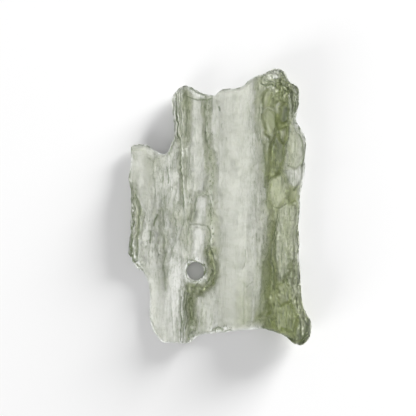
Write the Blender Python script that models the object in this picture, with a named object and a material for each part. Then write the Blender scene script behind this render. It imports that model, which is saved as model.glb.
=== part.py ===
"""A moldavite: one piece of natural green glass, thrown out molten and cooled in flight.

It is a flat, broken plate, fluted along its length by the flow of the glass. A burst bubble left
a round-ended groove on the front, and the groove ends in a hole right through the plate.
The stone lies on its back, front face up, its length along Y. The frame's origin is on the surface
that it lies on, under the middle of its box.

Run it with: blender --background --python part.py
"""

import bpy
import numpy as np
from mathutils import Vector, noise
from mathutils.geometry import delaunay_2d_cdt
from mathutils.kdtree import KDTree

MM = 0.001  # every size below is in millimetres, and the finished mesh is in metres

# --- Driving dimensions, in millimetres ------------------------------------------------------
FLATNESS = 0.017  # how far the little flat faces may stand off the true surface
LEAST_SPACING = 0.24  # between points where a face bends most
MOST_SPACING = 1.60  # and where it is nearly flat
OUTLINE_STEP = 0.60  # distance between points along the broken edge
HOLE_CENTRE = (-3.55, -9.80)
HOLE_RADIUS = 1.30
RIM_ROWS = (0.14, 0.40)  # rows of points that follow each edge, this far in from it
RIM_WIDTH = 0.30  # how far in from an edge its rounding reaches, at the least
RIM_SPREAD = 0.12  # and how much further for each millimetre that the stone is thick
RIM_SHARE = 0.42  # share of the stone's thickness left standing as a wall at an edge
RIM_HEIGHT = 0.45  # where between back and front the middle of that wall lies
RIM_WANDER = 0.20  # and how far that goes up and down along the edge
LEAST_THICKNESS = 0.6
WAVE_LENGTH = 5.0  # of the slow unevenness in both faces
WAVE_HEIGHT = 0.12
GLASS_COLOUR = (0.46, 0.55, 0.33, 1.0)
GLASS_ROUGHNESS = 0.3

# The broken edge, clockwise from the top left corner: (x, y).
OUTLINE = {
    "top of the slab": [(-13.30, 8.45), (-13.25, 9.20), (-12.80, 9.40), (-11.30, 9.40), (-10.50, 9.05)],
    "notch": [(-9.60, 8.40), (-8.85, 8.00), (-8.20, 7.95), (-7.70, 8.30), (-7.40, 8.90), (-7.15, 9.65)],
    "side of the block": [
        (-6.80, 10.50), (-6.70, 11.45), (-6.80, 13.00), (-7.00, 14.50), (-7.15, 15.80), (-6.95, 16.75),
    ],
    "left peak": [
        (-6.40, 17.40), (-5.80, 18.00), (-5.05, 18.30), (-4.40, 18.15), (-3.45, 17.65), (-2.40, 17.15),
        (-1.50, 16.98), (-0.65, 16.90),
    ],
    "saddle": [(-0.15, 17.30), (0.50, 17.75), (1.95, 17.90), (3.20, 18.05), (3.95, 18.50), (4.45, 19.10)],
    "right peak": [
        (5.15, 19.50), (6.40, 19.95), (7.35, 20.35), (8.10, 20.70), (8.70, 20.82), (9.30, 20.75),
        (9.90, 20.20), (10.30, 19.50),
    ],
    "shoulder": [
        (10.65, 18.85), (11.20, 18.45), (11.75, 17.95), (12.05, 17.25), (12.00, 16.40), (12.05, 15.50),
        (11.80, 14.55), (11.55, 13.55),
    ],
    "flake": [
        (11.60, 13.05), (12.05, 12.25), (12.55, 11.45), (12.90, 10.60), (13.10, 9.80), (13.05, 8.80),
        (12.95, 7.55), (12.85, 6.80), (13.00, 6.15), (12.85, 5.15), (12.75, 4.05), (12.45, 2.90),
    ],
    "right side": [
        (12.15, 1.55), (12.15, -0.20), (12.00, -2.15), (11.95, -3.95), (12.10, -5.70), (12.00, -7.55),
        (12.25, -9.65), (12.30, -11.60), (12.45, -13.90), (12.80, -15.45),
    ],
    "right toe": [
        (13.30, -16.40), (13.75, -17.20), (13.85, -18.15), (13.75, -19.25), (13.30, -20.05),
        (12.65, -20.65), (11.85, -20.80), (11.05, -20.50),
    ],
    "bottom": [
        (10.40, -19.85), (9.65, -19.40), (8.55, -19.00), (7.55, -18.65), (6.60, -18.40), (5.45, -18.60),
        (3.60, -18.75), (2.10, -18.90), (1.10, -19.10), (-0.90, -19.25), (-2.40, -19.40), (-3.30, -19.70),
    ],
    "left toe": [
        (-3.85, -20.20), (-4.45, -20.60), (-5.60, -20.80), (-7.05, -20.70), (-8.40, -20.65),
        (-8.90, -20.30), (-9.65, -19.40), (-10.15, -18.45), (-10.45, -17.20),
    ],
    "lower left side": [
        (-10.50, -15.40), (-10.45, -13.55), (-10.65, -11.90), (-11.05, -10.70), (-11.60, -9.80),
        (-12.25, -9.45), (-12.80, -8.85), (-13.30, -7.90),
    ],
    "side of the slab": [
        (-13.65, -6.95), (-13.55, -5.75), (-13.35, -3.80), (-13.30, -1.70), (-13.25, 0.20),
        (-13.30, 2.15), (-13.45, 3.30), (-13.65, 4.25), (-13.45, 5.40), (-13.30, 6.95),
    ],
}

# The flow of the glass left ribs and furrows down the whole length. Each is a line of
# (y along the stone, x across it, thickness of the stone), listed from left to right.
FLOW = {
    "left margin": [(20.8, -14.8, 1.0), (-20.8, -14.8, 1.0)],
    "slab edge": [
        (20.8, -13.1, 1.0), (7.0, -13.1, 1.0), (4.0, -13.1, 1.5), (1.5, -13.1, 3.2), (-0.5, -12.5, 2.6),
        (-3.5, -12.4, 2.5), (-5.5, -12.8, 1.6), (-10.0, -11.6, 1.3), (-14.0, -10.6, 1.0), (-20.8, -10.4, 1.0),
    ],
    "slab face": [
        (20.8, -11.6, 0.9), (7.0, -11.8, 0.9), (1.5, -11.9, 0.9), (-1.5, -11.2, 0.9), (-6.5, -11.4, 0.9),
        (-10.0, -10.4, 0.9), (-14.0, -9.6, 0.9), (-20.8, -9.4, 0.8),
    ],
    "slab rib": [
        (20.8, -9.2, 1.7), (8.0, -9.4, 1.8), (6.5, -9.6, 1.6), (4.0, -10.0, 1.3), (1.0, -10.2, 1.2),
        (-2.0, -9.4, 1.0), (-9.0, -9.4, 0.9), (-14.0, -8.6, 0.8), (-20.8, -8.4, 0.8),
    ],
    "slab furrow": [
        (20.8, -8.2, 1.1), (8.0, -8.2, 0.9), (4.0, -8.6, 0.9), (1.0, -8.8, 1.0), (-2.0, -7.9, 0.9),
        (-9.0, -7.4, 0.9), (-14.0, -7.2, 0.7), (-20.8, -7.1, 0.7),
    ],
    "block foot": [
        (20.8, -6.6, 1.1), (13.0, -6.6, 1.2), (10.5, -6.6, 1.4), (8.0, -6.2, 0.8), (4.0, -6.1, 0.9),
        (1.0, -6.2, 1.1), (-1.7, -6.2, 1.8), (-4.3, -6.2, 1.2), (-6.5, -6.1, 0.9), (-8.8, -6.1, 0.8),
        (-14.0, -6.2, 0.7), (-20.8, -6.2, 0.7),
    ],
    "block step": [
        (20.8, -5.7, 1.2), (16.0, -5.8, 1.2), (13.0, -6.1, 1.6), (10.0, -5.9, 1.9), (8.0, -5.6, 1.8),
        (4.0, -5.5, 2.2), (1.0, -5.5, 1.6), (-4.3, -5.4, 1.5), (-6.5, -5.3, 1.2), (-9.0, -5.5, 0.9),
        (-14.0, -5.4, 1.0), (-20.8, -5.4, 1.0),
    ],
    "block rib": [
        (20.8, -4.9, 2.0), (16.0, -4.9, 2.1), (13.0, -4.9, 1.6), (7.0, -4.8, 1.5), (4.0, -4.8, 1.5),
        (1.0, -4.6, 1.6), (-4.3, -4.7, 1.8), (-6.5, -4.6, 1.5), (-9.0, -4.6, 1.2), (-11.2, -4.5, 1.4),
        (-12.5, -4.2, 2.8), (-15.5, -4.2, 3.8), (-18.0, -4.1, 3.8), (-20.8, -4.1, 3.4),
    ],
    "left of the groove": [
        (20.8, -3.9, 1.2), (16.0, -3.9, 1.1), (10.0, -3.8, 1.1), (1.0, -3.7, 1.2), (-2.0, -3.8, 1.5),
        (-4.3, -3.7, 1.0), (-8.8, -3.9, 1.0), (-11.0, -3.8, 1.4), (-12.5, -3.5, 1.8), (-14.0, -3.1, 1.1),
        (-20.8, -3.1, 1.2),
    ],
    "right of the groove": [
        (20.8, -2.8, 1.1), (16.0, -2.8, 1.1), (13.0, -2.6, 1.0), (7.0, -2.4, 1.1), (4.0, -2.3, 0.9),
        (1.0, -2.4, 1.0), (-2.0, -2.2, 1.1), (-4.3, -2.3, 1.1), (-8.8, -2.3, 1.3), (-11.0, -2.5, 1.7),
        (-12.5, -2.4, 2.0), (-14.0, -2.4, 1.1), (-17.0, -2.4, 1.4), (-20.8, -2.4, 1.3),
    ],
    "middle rib": [
        (20.8, -1.8, 2.0), (16.0, -1.9, 2.1), (13.0, -1.8, 2.0), (10.0, -1.8, 2.1), (8.0, -1.2, 2.2),
        (4.0, -1.0, 1.9), (1.0, -1.1, 1.8), (-1.3, -0.9, 2.1), (-4.3, -1.3, 2.0), (-8.8, -1.1, 2.0),
        (-10.5, -1.0, 1.9), (-12.2, -1.4, 1.5), (-13.5, -1.5, 1.1), (-20.8, -1.5, 1.2),
    ],
    "furrow side": [
        (20.8, -0.9, 1.1), (10.0, -0.9, 1.0), (7.0, 0.0, 0.9), (1.0, 0.1, 1.0), (-2.0, 0.5, 1.2),
        (-8.0, 0.8, 1.1), (-11.0, 0.7, 1.1), (-14.0, -0.3, 1.0), (-20.8, -0.3, 1.1),
    ],
    "main furrow": [
        (20.8, 2.2, 1.0), (-4.3, 2.2, 1.0), (-12.5, 2.2, 1.1), (-20.8, 2.2, 1.2),
    ],
    "low rib": [
        (20.8, 4.1, 1.3), (13.0, 4.1, 1.2), (-4.3, 4.1, 1.1), (-7.5, 4.0, 1.3), (-9.5, 4.0, 1.2),
        (-12.5, 3.9, 1.7), (-17.0, 4.1, 2.0), (-20.8, 4.2, 1.7),
    ],
    "side furrow": [
        (20.8, 5.2, 1.4), (16.0, 5.2, 1.2), (7.0, 5.2, 1.1), (-4.3, 5.2, 1.0), (-11.0, 5.2, 1.2),
        (-14.0, 5.2, 1.1), (-17.0, 5.2, 1.6), (-20.8, 5.2, 1.8),
    ],
    "slope foot": [
        (20.8, 6.1, 2.3), (16.0, 6.1, 2.0), (12.0, 6.2, 1.7), (8.5, 6.2, 1.4), (4.0, 6.2, 1.1),
        (1.0, 6.2, 1.0), (-0.5, 6.2, 1.3), (-3.5, 6.2, 1.2), (-8.0, 6.2, 1.2), (-12.5, 6.2, 1.2),
        (-14.0, 6.2, 1.6), (-15.5, 6.2, 1.9), (-17.0, 6.2, 3.2), (-20.8, 6.2, 3.2),
    ],
    "slope": [
        (20.8, 7.4, 2.6), (16.0, 7.4, 2.1), (13.0, 7.4, 1.7), (10.0, 7.4, 1.8), (8.5, 7.3, 2.2),
        (5.5, 7.3, 1.8), (2.5, 7.1, 1.1), (-0.5, 7.2, 1.7), (-2.0, 7.2, 1.5), (-6.5, 7.1, 1.8),
        (-8.0, 7.0, 2.1), (-9.5, 6.9, 2.1), (-12.5, 7.0, 2.4), (-15.5, 7.0, 2.5), (-17.0, 7.0, 4.2),
        (-20.8, 7.0, 4.4),
    ],
    "crest": [
        (20.8, 8.7, 2.8), (16.0, 8.6, 3.0), (14.5, 8.8, 2.6), (13.0, 8.9, 4.0), (11.5, 8.6, 3.3),
        (10.0, 8.7, 3.2), (8.5, 8.8, 5.0), (5.5, 8.6, 4.2), (4.0, 8.6, 3.2), (-2.0, 8.3, 3.4),
        (-3.5, 8.2, 4.0), (-6.5, 7.9, 3.8), (-9.5, 7.8, 4.6), (-12.5, 7.9, 4.0), (-15.5, 7.8, 4.0),
        (-17.0, 7.7, 4.7), (-20.8, 7.8, 4.5),
    ],
    "shoulder": [
        (20.8, 10.1, 4.4), (16.0, 10.1, 3.6), (13.0, 9.9, 4.8), (10.0, 10.0, 3.2), (8.5, 10.0, 1.9),
        (4.0, 10.0, 1.7), (-1.3, 9.6, 1.7), (-5.0, 9.4, 1.6), (-8.8, 9.6, 1.7), (-11.0, 9.8, 1.9),
        (-12.5, 10.0, 2.6), (-20.8, 10.4, 3.2),
    ],
    "right rim": [
        (20.8, 11.3, 3.6), (16.0, 11.3, 3.0), (13.0, 11.3, 1.5), (7.0, 11.6, 1.2), (4.0, 11.6, 1.3),
        (2.5, 11.0, 1.9), (1.0, 10.9, 2.7), (-2.0, 10.9, 2.8), (-8.8, 11.2, 2.5), (-12.5, 11.6, 2.8),
        (-15.5, 12.0, 3.2), (-20.8, 12.6, 3.2),
    ],
    "right margin": [(20.8, 15.2, 1.6), (10.0, 15.2, 1.4), (-10.0, 15.2, 2.0), (-20.8, 15.2, 2.6)],
}
# The same for the back, with heights above the surface the stone lies on. Where a rib would reach
# below zero, the stone has worn flat and rests.
BACK_FLOW = {
    "left margin": [(20.8, -14.6, 0.9), (-20.8, -14.6, 0.9)],
    "left foot": [
        (20.8, -11.9, 0.3), (8.5, -11.9, 0.2), (-2.0, -11.2, -0.3), (-8.8, -10.6, -0.3), (-20.8, -9.2, 0.2),
    ],
    "left hollow": [(20.8, -7.4, 0.9), (7.0, -8.0, 0.7), (-6.5, -7.6, 0.8), (-20.8, -6.5, 0.5)],
    "middle foot": [
        (20.8, -2.2, 0.3), (14.5, -2.0, -0.3), (1.0, -1.5, 0.2), (-12.5, -1.5, 0.1), (-17.4, -2.0, -0.3),
        (-20.8, -2.2, 0.3),
    ],
    "main hollow": [(20.8, 2.4, 0.8), (8.0, 3.2, 0.6), (-4.0, 2.6, 0.8), (-20.8, 2.6, 0.6)],
    "low rib": [(20.8, 5.2, 0.5), (4.0, 5.6, 0.4), (-20.8, 4.8, 0.5)],
    "right hollow": [(20.8, 6.8, 0.6), (0.0, 7.0, 0.7), (-20.8, 6.6, 0.6)],
    "right foot": [
        (20.8, 8.8, 0.4), (14.5, 9.0, -0.3), (2.5, 8.8, 0.3), (-14.0, 9.4, -0.3), (-20.8, 9.8, 0.3),
    ],
    "right margin": [(20.8, 15.2, 1.5), (-20.8, 15.2, 1.3)],
}
# Welts of pushed-up glass: a path, the thickness added on it and its half width.
WELTS = {
    "crescent round the hole": (
        [(-1.20, -6.80), (-1.00, -8.20), (-0.80, -9.80), (-1.00, -11.40), (-2.60, -12.60), (-4.20, -12.60)],
        2.20, 0.50,
    ),
    "slab streak": (
        [(-8.80, -0.60), (-8.60, -3.00), (-8.10, -5.50), (-8.00, -8.80), (-7.95, -11.50)], 0.60, 0.35,
    ),
    "edge of the bubble groove": ([(-4.00, -2.00), (-3.95, 0.20), (-3.20, 1.90), (-2.20, 1.90)], 0.60, 0.35),
}
# Scoops that burst bubbles and broken flakes left in the front: a path along the middle, the thickness
# left there, how much more is left at the given distance, and the power it grows by.
SCOOPS = {
    "upper bubble groove": ([(-2.65, 0.80), (-2.80, -2.20)], 0.95, 1.60, 1.10, 3),
    "lower bubble groove": ([(-3.00, -4.00), (-3.40, -9.20)], 0.85, 1.60, 1.35, 3),
    "lip of the hole": ([(-3.60, -9.85), (-3.50, -9.75)], 0.00, 1.60, 1.85, 2),
    "lens": ([(8.95, 3.70), (9.00, 1.00)], 2.40, 1.80, 1.30, 2),
    "flake": ([(12.30, 10.20), (12.00, 3.80)], 1.40, 1.50, 1.60, 2),
    "peak": ([(8.40, 19.70), (9.10, 19.50)], 3.00, 1.50, 1.00, 2),
    "crest hollow": ([(9.30, 15.60), (9.40, 14.40)], 3.40, 1.20, 0.90, 2),
    "crest notch": ([(9.70, 11.30), (9.40, 10.20)], 3.40, 1.20, 0.70, 2),
    "furrow scallop 1": ([(2.30, 13.20), (2.30, 9.40)], 0.75, 0.45, 2.40, 3),
    "furrow scallop 2": ([(2.20, 6.20), (2.20, 3.20)], 0.75, 0.45, 2.40, 3),
    "furrow scallop 3": ([(2.30, -1.20), (2.30, -4.60)], 0.80, 0.45, 2.40, 3),
    "furrow scallop 4": ([(1.80, -8.40), (1.60, -11.00)], 0.85, 0.55, 2.40, 3),
}
# Slanting fractures along the broken edge, in the same terms.
FRACTURES = {
    "top of the slab": ([(-13.30, 9.30), (-11.30, 9.40), (-10.20, 8.80)], 0.70, 1.20, 1.0, 1),
    "notch": ([(-10.20, 8.80), (-9.00, 8.00), (-8.00, 8.00)], 0.70, 0.80, 1.0, 1),
    "left peak": ([(-7.00, 14.00), (-6.80, 17.00), (-5.10, 18.25)], 1.00, 2.20, 1.0, 1),
    "top edge": ([(-5.05, 18.25), (-2.40, 17.00), (-0.70, 16.80)], 0.90, 1.80, 1.0, 1),
    "saddle": ([(-0.20, 17.30), (3.20, 18.10), (4.50, 19.10)], 0.70, 0.80, 1.0, 1),
    "right peak": ([(4.50, 19.10), (7.40, 20.30), (9.30, 20.70)], 1.40, 2.60, 1.0, 1),
    "shoulder": ([(9.30, 20.70), (11.10, 18.40), (12.00, 16.50), (11.60, 13.50)], 1.80, 2.40, 1.0, 1),
    "right side": ([(12.30, 2.90), (11.70, -4.00), (12.10, -11.60)], 1.60, 2.80, 1.0, 1),
    "right toe": ([(13.60, -17.20), (13.60, -19.20), (11.80, -20.70)], 2.00, 2.60, 1.0, 1),
    "bottom": ([(5.00, -18.50), (1.10, -19.10), (-3.30, -19.70)], 0.70, 0.90, 1.0, 1),
    "foot of the crest": ([(10.80, -20.00), (8.50, -18.90), (5.60, -18.50)], 1.80, 3.20, 1.0, 1),
    "left toe": ([(-5.60, -20.80), (-8.40, -20.70), (-10.40, -17.50)], 0.60, 0.90, 1.0, 1),
    "chipped edge": ([(-13.6, 3.5), (-13.4, -4.0), (-13.5, -7.5), (-11.0, -10.8)], 0.80, 1.60, 1.0, 1),
}
SCOOP_BLEND = 0.25  # how far the sharp edge of a scoop is worn round


def smooth_through(knots, values, at):
    """A smooth curve through the knots that never overshoots them. Knots run along the first axis."""
    step = np.diff(knots, axis=0)
    slope = np.diff(values, axis=0) / step
    before, after = slope[:-1], slope[1:]
    turning = before * after <= 0
    weight_a, weight_b = 2 * step[1:] + step[:-1], step[1:] + 2 * step[:-1]
    safe_before = np.where(turning, 1.0, before)
    safe_after = np.where(turning, 1.0, after)
    mean = (weight_a + weight_b) / (weight_a / safe_before + weight_b / safe_after)
    tangent = np.zeros_like(values)
    tangent[1:-1] = np.where(turning, 0.0, mean)

    index = np.clip((at >= knots).sum(axis=0) - 1, 0, len(knots) - 2)[None]
    left, right = (np.take_along_axis(knots, index + i, 0)[0] for i in (0, 1))
    low, high = (np.take_along_axis(values, index + i, 0)[0] for i in (0, 1))
    leaving, arriving = (np.take_along_axis(tangent, index + i, 0)[0] for i in (0, 1))
    span = right - left
    t = np.clip((at - left) / span, 0, 1)
    return (
        (1 + 2 * t) * (1 - t) ** 2 * low
        + t * (1 - t) ** 2 * span * leaving
        + t * t * (3 - 2 * t) * high
        + t * t * (t - 1) * span * arriving
    )


def flow_height(lines, x, y):
    """Height at each point of a face whose ribs and furrows are the given flow lines."""
    across, heights = [], []
    for line in lines.values():
        stations = np.array(sorted(line))
        along = np.repeat(stations[:, :1], len(x), axis=1)
        across.append(smooth_through(along, np.repeat(stations[:, 1:2], len(x), axis=1), y))
        heights.append(smooth_through(along, np.repeat(stations[:, 2:3], len(x), axis=1), y))
    return smooth_through(np.array(across), np.array(heights), x)


def distance_to_path(path, x, y):
    """Distance of each point from a line of straight pieces."""
    nearest = np.full(len(x), np.inf)
    for (ax, ay), (bx, by) in zip(path[:-1], path[1:]):
        length = max((bx - ax) ** 2 + (by - ay) ** 2, 1e-9)
        t = np.clip(((x - ax) * (bx - ax) + (y - ay) * (by - ay)) / length, 0, 1)
        nearest = np.minimum(nearest, np.hypot(x - ax - t * (bx - ax), y - ay - t * (by - ay)))
    return nearest


def lower_of(a, b, blend):
    """The lower of two surfaces, with the edge where they cross rounded over the blend height."""
    share = np.clip(0.5 + 0.5 * (b - a) / blend, 0, 1)
    return b + (a - b) * share - blend * share * (1 - share)


def waves(x, y, seed):
    """Slow unevenness, between about -1 and 1."""
    places = np.stack([x, y, np.full_like(x, seed * WAVE_LENGTH)], axis=1) / WAVE_LENGTH
    return np.array([noise.noise(Vector(place)) for place in places])


def thickness(x, y):
    left = flow_height(FLOW, x, y) + WAVE_HEIGHT * waves(x, y, seed=3.3)
    for path, tall, half_width in WELTS.values():
        left += tall * np.exp(-((distance_to_path(path, x, y) / half_width) ** 2))
    for path, bed, rise, reach, power in [*SCOOPS.values(), *FRACTURES.values()]:
        left = lower_of(left, bed + rise * (distance_to_path(path, x, y) / reach) ** power, SCOOP_BLEND)
    return np.maximum(left, LEAST_THICKNESS)


def back_height(x, y):
    return np.maximum(flow_height(BACK_FLOW, x, y) + WAVE_HEIGHT * waves(x, y, seed=8.6), 0.0)


def closed_curve(points, step):
    """Points a step apart along a smooth closed curve through the given ones."""
    points = np.array(points)
    before, after = np.roll(points, 1, axis=0), np.roll(points, -1, axis=0)
    beyond = np.roll(points, -2, axis=0)
    t = np.linspace(0, 1, 12, endpoint=False)[:, None, None]
    fine = 0.5 * (
        2 * points
        + (after - before) * t
        + (2 * before - 5 * points + 4 * after - beyond) * t**2
        + (3 * points - before - 3 * after + beyond) * t**3
    )
    fine = fine.transpose(1, 0, 2).reshape(-1, 2)
    loop = np.vstack([fine, fine[:1]])
    along = np.concatenate([[0], np.cumsum(np.linalg.norm(np.diff(loop, axis=0), axis=1))])
    at = np.linspace(0, along[-1], max(12, round(along[-1] / step)), endpoint=False)
    return np.stack([np.interp(at, along, loop[:, i]) for i in (0, 1)], axis=1)


def circle(centre, radius, step):
    """Points about a step apart round a circle, anticlockwise."""
    count = max(20, round(2 * np.pi * radius / step))
    angle = np.linspace(0, 2 * np.pi, count, endpoint=False)
    return np.array(centre) + radius * np.stack([np.cos(angle), np.sin(angle)], axis=1)


def inside(loop, x, y):
    """Whether each point lies inside a closed loop."""
    found = np.zeros(len(x), bool)
    for (ax, ay), (bx, by) in zip(loop, np.roll(loop, -1, axis=0)):
        crosses = (ay > y) != (by > y)
        if ay != by:
            found ^= crosses & (x < (bx - ax) * (y - ay) / (by - ay) + ax)
    return found


def edge_finder(loops):
    """A search tree over closely spaced points of the edges."""
    dense = []
    for loop in loops:
        nearby = np.roll(loop, -1, axis=0)
        for t in np.linspace(0, 1, 8, endpoint=False):
            dense.append(loop + t * (nearby - loop))
    dense = np.vstack(dense)
    tree = KDTree(len(dense))
    for index, (px, py) in enumerate(dense):
        tree.insert((px, py, 0.0), index)
    tree.balance()
    return tree


def edge_distance(tree, x, y):
    return np.array([tree.find((px, py, 0.0))[2] for px, py in zip(x, y)])


def inner_rows(loop, offsets, tree):
    """Rows of points that follow an edge at the given distances inside the stone."""
    rows = []
    run = np.roll(loop, -1, axis=0) - np.roll(loop, 1, axis=0)
    normal = np.stack([run[:, 1], -run[:, 0]], axis=1)
    normal /= np.linalg.norm(normal, axis=1, keepdims=True)
    for offset in offsets:
        row = loop + offset * normal
        rows.append(row[edge_distance(tree, row[:, 0], row[:, 1]) > 0.9 * offset])
    return rows


def lattice(outline, hole, side):
    """The corners of equal triangles that fill the outline round the hole."""
    low, high = outline.min(axis=0), outline.max(axis=0)
    columns = np.arange(low[0], high[0], side * np.sqrt(3) / 2)
    rows = np.arange(low[1], high[1], side)
    x = np.repeat(columns, len(rows))
    y = (rows[None, :] + np.where(np.arange(len(columns)) % 2, side / 2, 0)[:, None]).ravel()
    keep = inside(outline, x, y) & ~inside(hole, x, y)
    return x[keep], y[keep]


def surface(x, y, tree, side):
    """Height of the front or the back, rounded down to meet the other at the edges."""
    back, whole = back_height(x, y), thickness(x, y)
    reach = np.clip(edge_distance(tree, x, y) / (RIM_WIDTH + RIM_SPREAD * whole), 0, 1)
    share = RIM_SHARE + (1 - RIM_SHARE) * np.sqrt(1 - (1 - reach) ** 2)
    middle = back + (RIM_HEIGHT + RIM_WANDER * waves(x, y, seed=5.1)) * whole
    face = back + whole if side == "front" else back
    return middle + (face - middle) * share


def scatter(outline, hole, tree, side):
    """Points inside the edges that lie closer together where the face bends more."""
    x, y = lattice(outline, hole, LEAST_SPACING)
    step = LEAST_SPACING
    here = surface(x, y, tree, side)
    bend = np.full(len(x), 1e-6)
    for dx, dy in ((step, 0), (0, step)):
        around = surface(x + dx, y + dy, tree, side) + surface(x - dx, y - dy, tree, side)
        bend = np.maximum(bend, abs(around - 2 * here) / step**2)
    spacing = np.clip(np.sqrt(8 * FLATNESS / bend), LEAST_SPACING, MOST_SPACING)
    free = edge_distance(tree, x, y) > RIM_ROWS[-1] + 0.5 * spacing.clip(0, 0.5)
    chosen = []
    for index in np.argsort(spacing, kind="stable"):
        if free[index]:
            chosen.append(index)
            free &= np.hypot(x - x[index], y - y[index]) >= spacing
    return np.stack([x[chosen], y[chosen]], axis=1)


def edge_loops(outline, hole):
    return [list(range(len(outline))), list(range(len(outline), len(outline) + len(hole)))]


def skin(outline, hole, tree, side):
    """Vertices and triangles of one face. Its first vertices are those of the two edges."""
    rows = inner_rows(outline, RIM_ROWS, tree) + inner_rows(hole, RIM_ROWS, tree)
    points = np.vstack([outline, hole, *rows, scatter(outline, hole, tree, side)])
    fixed = [(a, b) for loop in edge_loops(outline, hole) for a, b in zip(loop, loop[1:] + loop[:1])]
    placed, _, triangles, *_ = delaunay_2d_cdt([Vector(p) for p in points], fixed, [], 0, 1e-5)
    placed, triangles = np.array(placed), np.array(triangles)
    x, y = placed[triangles].mean(axis=1).T
    keep = inside(outline, x, y) & ~inside(hole, x, y)
    x, y = placed.T
    return np.column_stack([x, y, surface(x, y, tree, side)]), triangles[keep]


def stone_mesh():
    """Vertices and faces of the whole stone, in millimetres."""
    outline = closed_curve([p for part in OUTLINE.values() for p in part], OUTLINE_STEP)
    hole = circle(HOLE_CENTRE, HOLE_RADIUS, OUTLINE_STEP * 0.7)
    tree = edge_finder([outline, hole])
    front, front_faces = skin(outline, hole, tree, "front")
    back, back_faces = skin(outline, hole, tree, "back")
    first = len(front)
    faces = [tuple(t) for t in front_faces] + [tuple(t[::-1] + first) for t in back_faces]
    for loop in edge_loops(outline, hole):
        for a, b in zip(loop, loop[1:] + loop[:1]):
            faces.append((a, b, b + first, a + first))
    return np.vstack([front, back]), faces


def glass():
    material = bpy.data.materials.new("moldavite_glass")
    material.use_nodes = True
    shader = material.node_tree.nodes["Principled BSDF"]
    shader.inputs["Base Color"].default_value = GLASS_COLOUR
    shader.inputs["Roughness"].default_value = GLASS_ROUGHNESS
    return material


def build():
    vertices, faces = stone_mesh()
    mesh = bpy.data.meshes.new("moldavite")
    mesh.from_pydata((vertices * MM).tolist(), [], faces)
    mesh.validate()
    mesh.materials.append(glass())
    stone = bpy.data.objects.new("moldavite", mesh)
    bpy.context.scene.collection.objects.link(stone)
    return stone


for leftover in list(bpy.data.objects):
    bpy.data.objects.remove(leftover)
build()
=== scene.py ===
# %% [markdown]
# # A moldavite: one stone, one glass
#
# A moldavite is a piece of natural green glass. It was thrown out molten, cooled in flight, and then
# lay in sand and clay for millions of years, which etched its skin. This one is a broken plate with
# ribs and furrows down its length, and a small hole at the end of a burst bubble's groove.
#
# The stone has no parts, so all the work is in its surface and its glass. Its large shape is a height
# map cut to the broken outline. Geometry Nodes then add the fine relief, and the last cells make the
# glass and the light. Sculpting by hand would also do, but a height map keeps every rib and scoop as
# a number that a reader can change.
#
# Lengths are in millimetres until the mesh is made. The stone lies on its back, +Z is up, and +Y runs
# along its ribs.

import bpy
import numpy as np
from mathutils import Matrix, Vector, noise
from mathutils.geometry import delaunay_2d_cdt
from mathutils.kdtree import KDTree


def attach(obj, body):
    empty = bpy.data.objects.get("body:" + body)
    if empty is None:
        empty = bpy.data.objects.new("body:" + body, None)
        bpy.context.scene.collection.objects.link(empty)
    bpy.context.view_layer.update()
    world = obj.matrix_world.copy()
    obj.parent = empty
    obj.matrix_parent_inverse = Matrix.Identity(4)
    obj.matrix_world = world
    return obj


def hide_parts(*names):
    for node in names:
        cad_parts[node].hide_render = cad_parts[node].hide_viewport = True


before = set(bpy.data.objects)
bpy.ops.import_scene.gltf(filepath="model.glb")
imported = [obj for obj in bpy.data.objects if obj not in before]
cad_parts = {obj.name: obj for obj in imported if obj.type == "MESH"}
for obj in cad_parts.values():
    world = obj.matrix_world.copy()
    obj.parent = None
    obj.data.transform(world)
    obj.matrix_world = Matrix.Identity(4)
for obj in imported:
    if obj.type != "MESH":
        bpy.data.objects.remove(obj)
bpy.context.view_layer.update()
MM = 0.001  # the shape is described in millimetres and becomes metres once, when the mesh is made

# %% [markdown]
# ## The broken edge
#
# The plate is broken all round, so its outline follows no rule. It is given as a few points for
# each stretch of the edge, and a smooth closed curve runs through them. A Bézier curve object would
# do as well, but plain numbers are easier to share between the edge, the faces and the distances
# that the later cells need.

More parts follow.
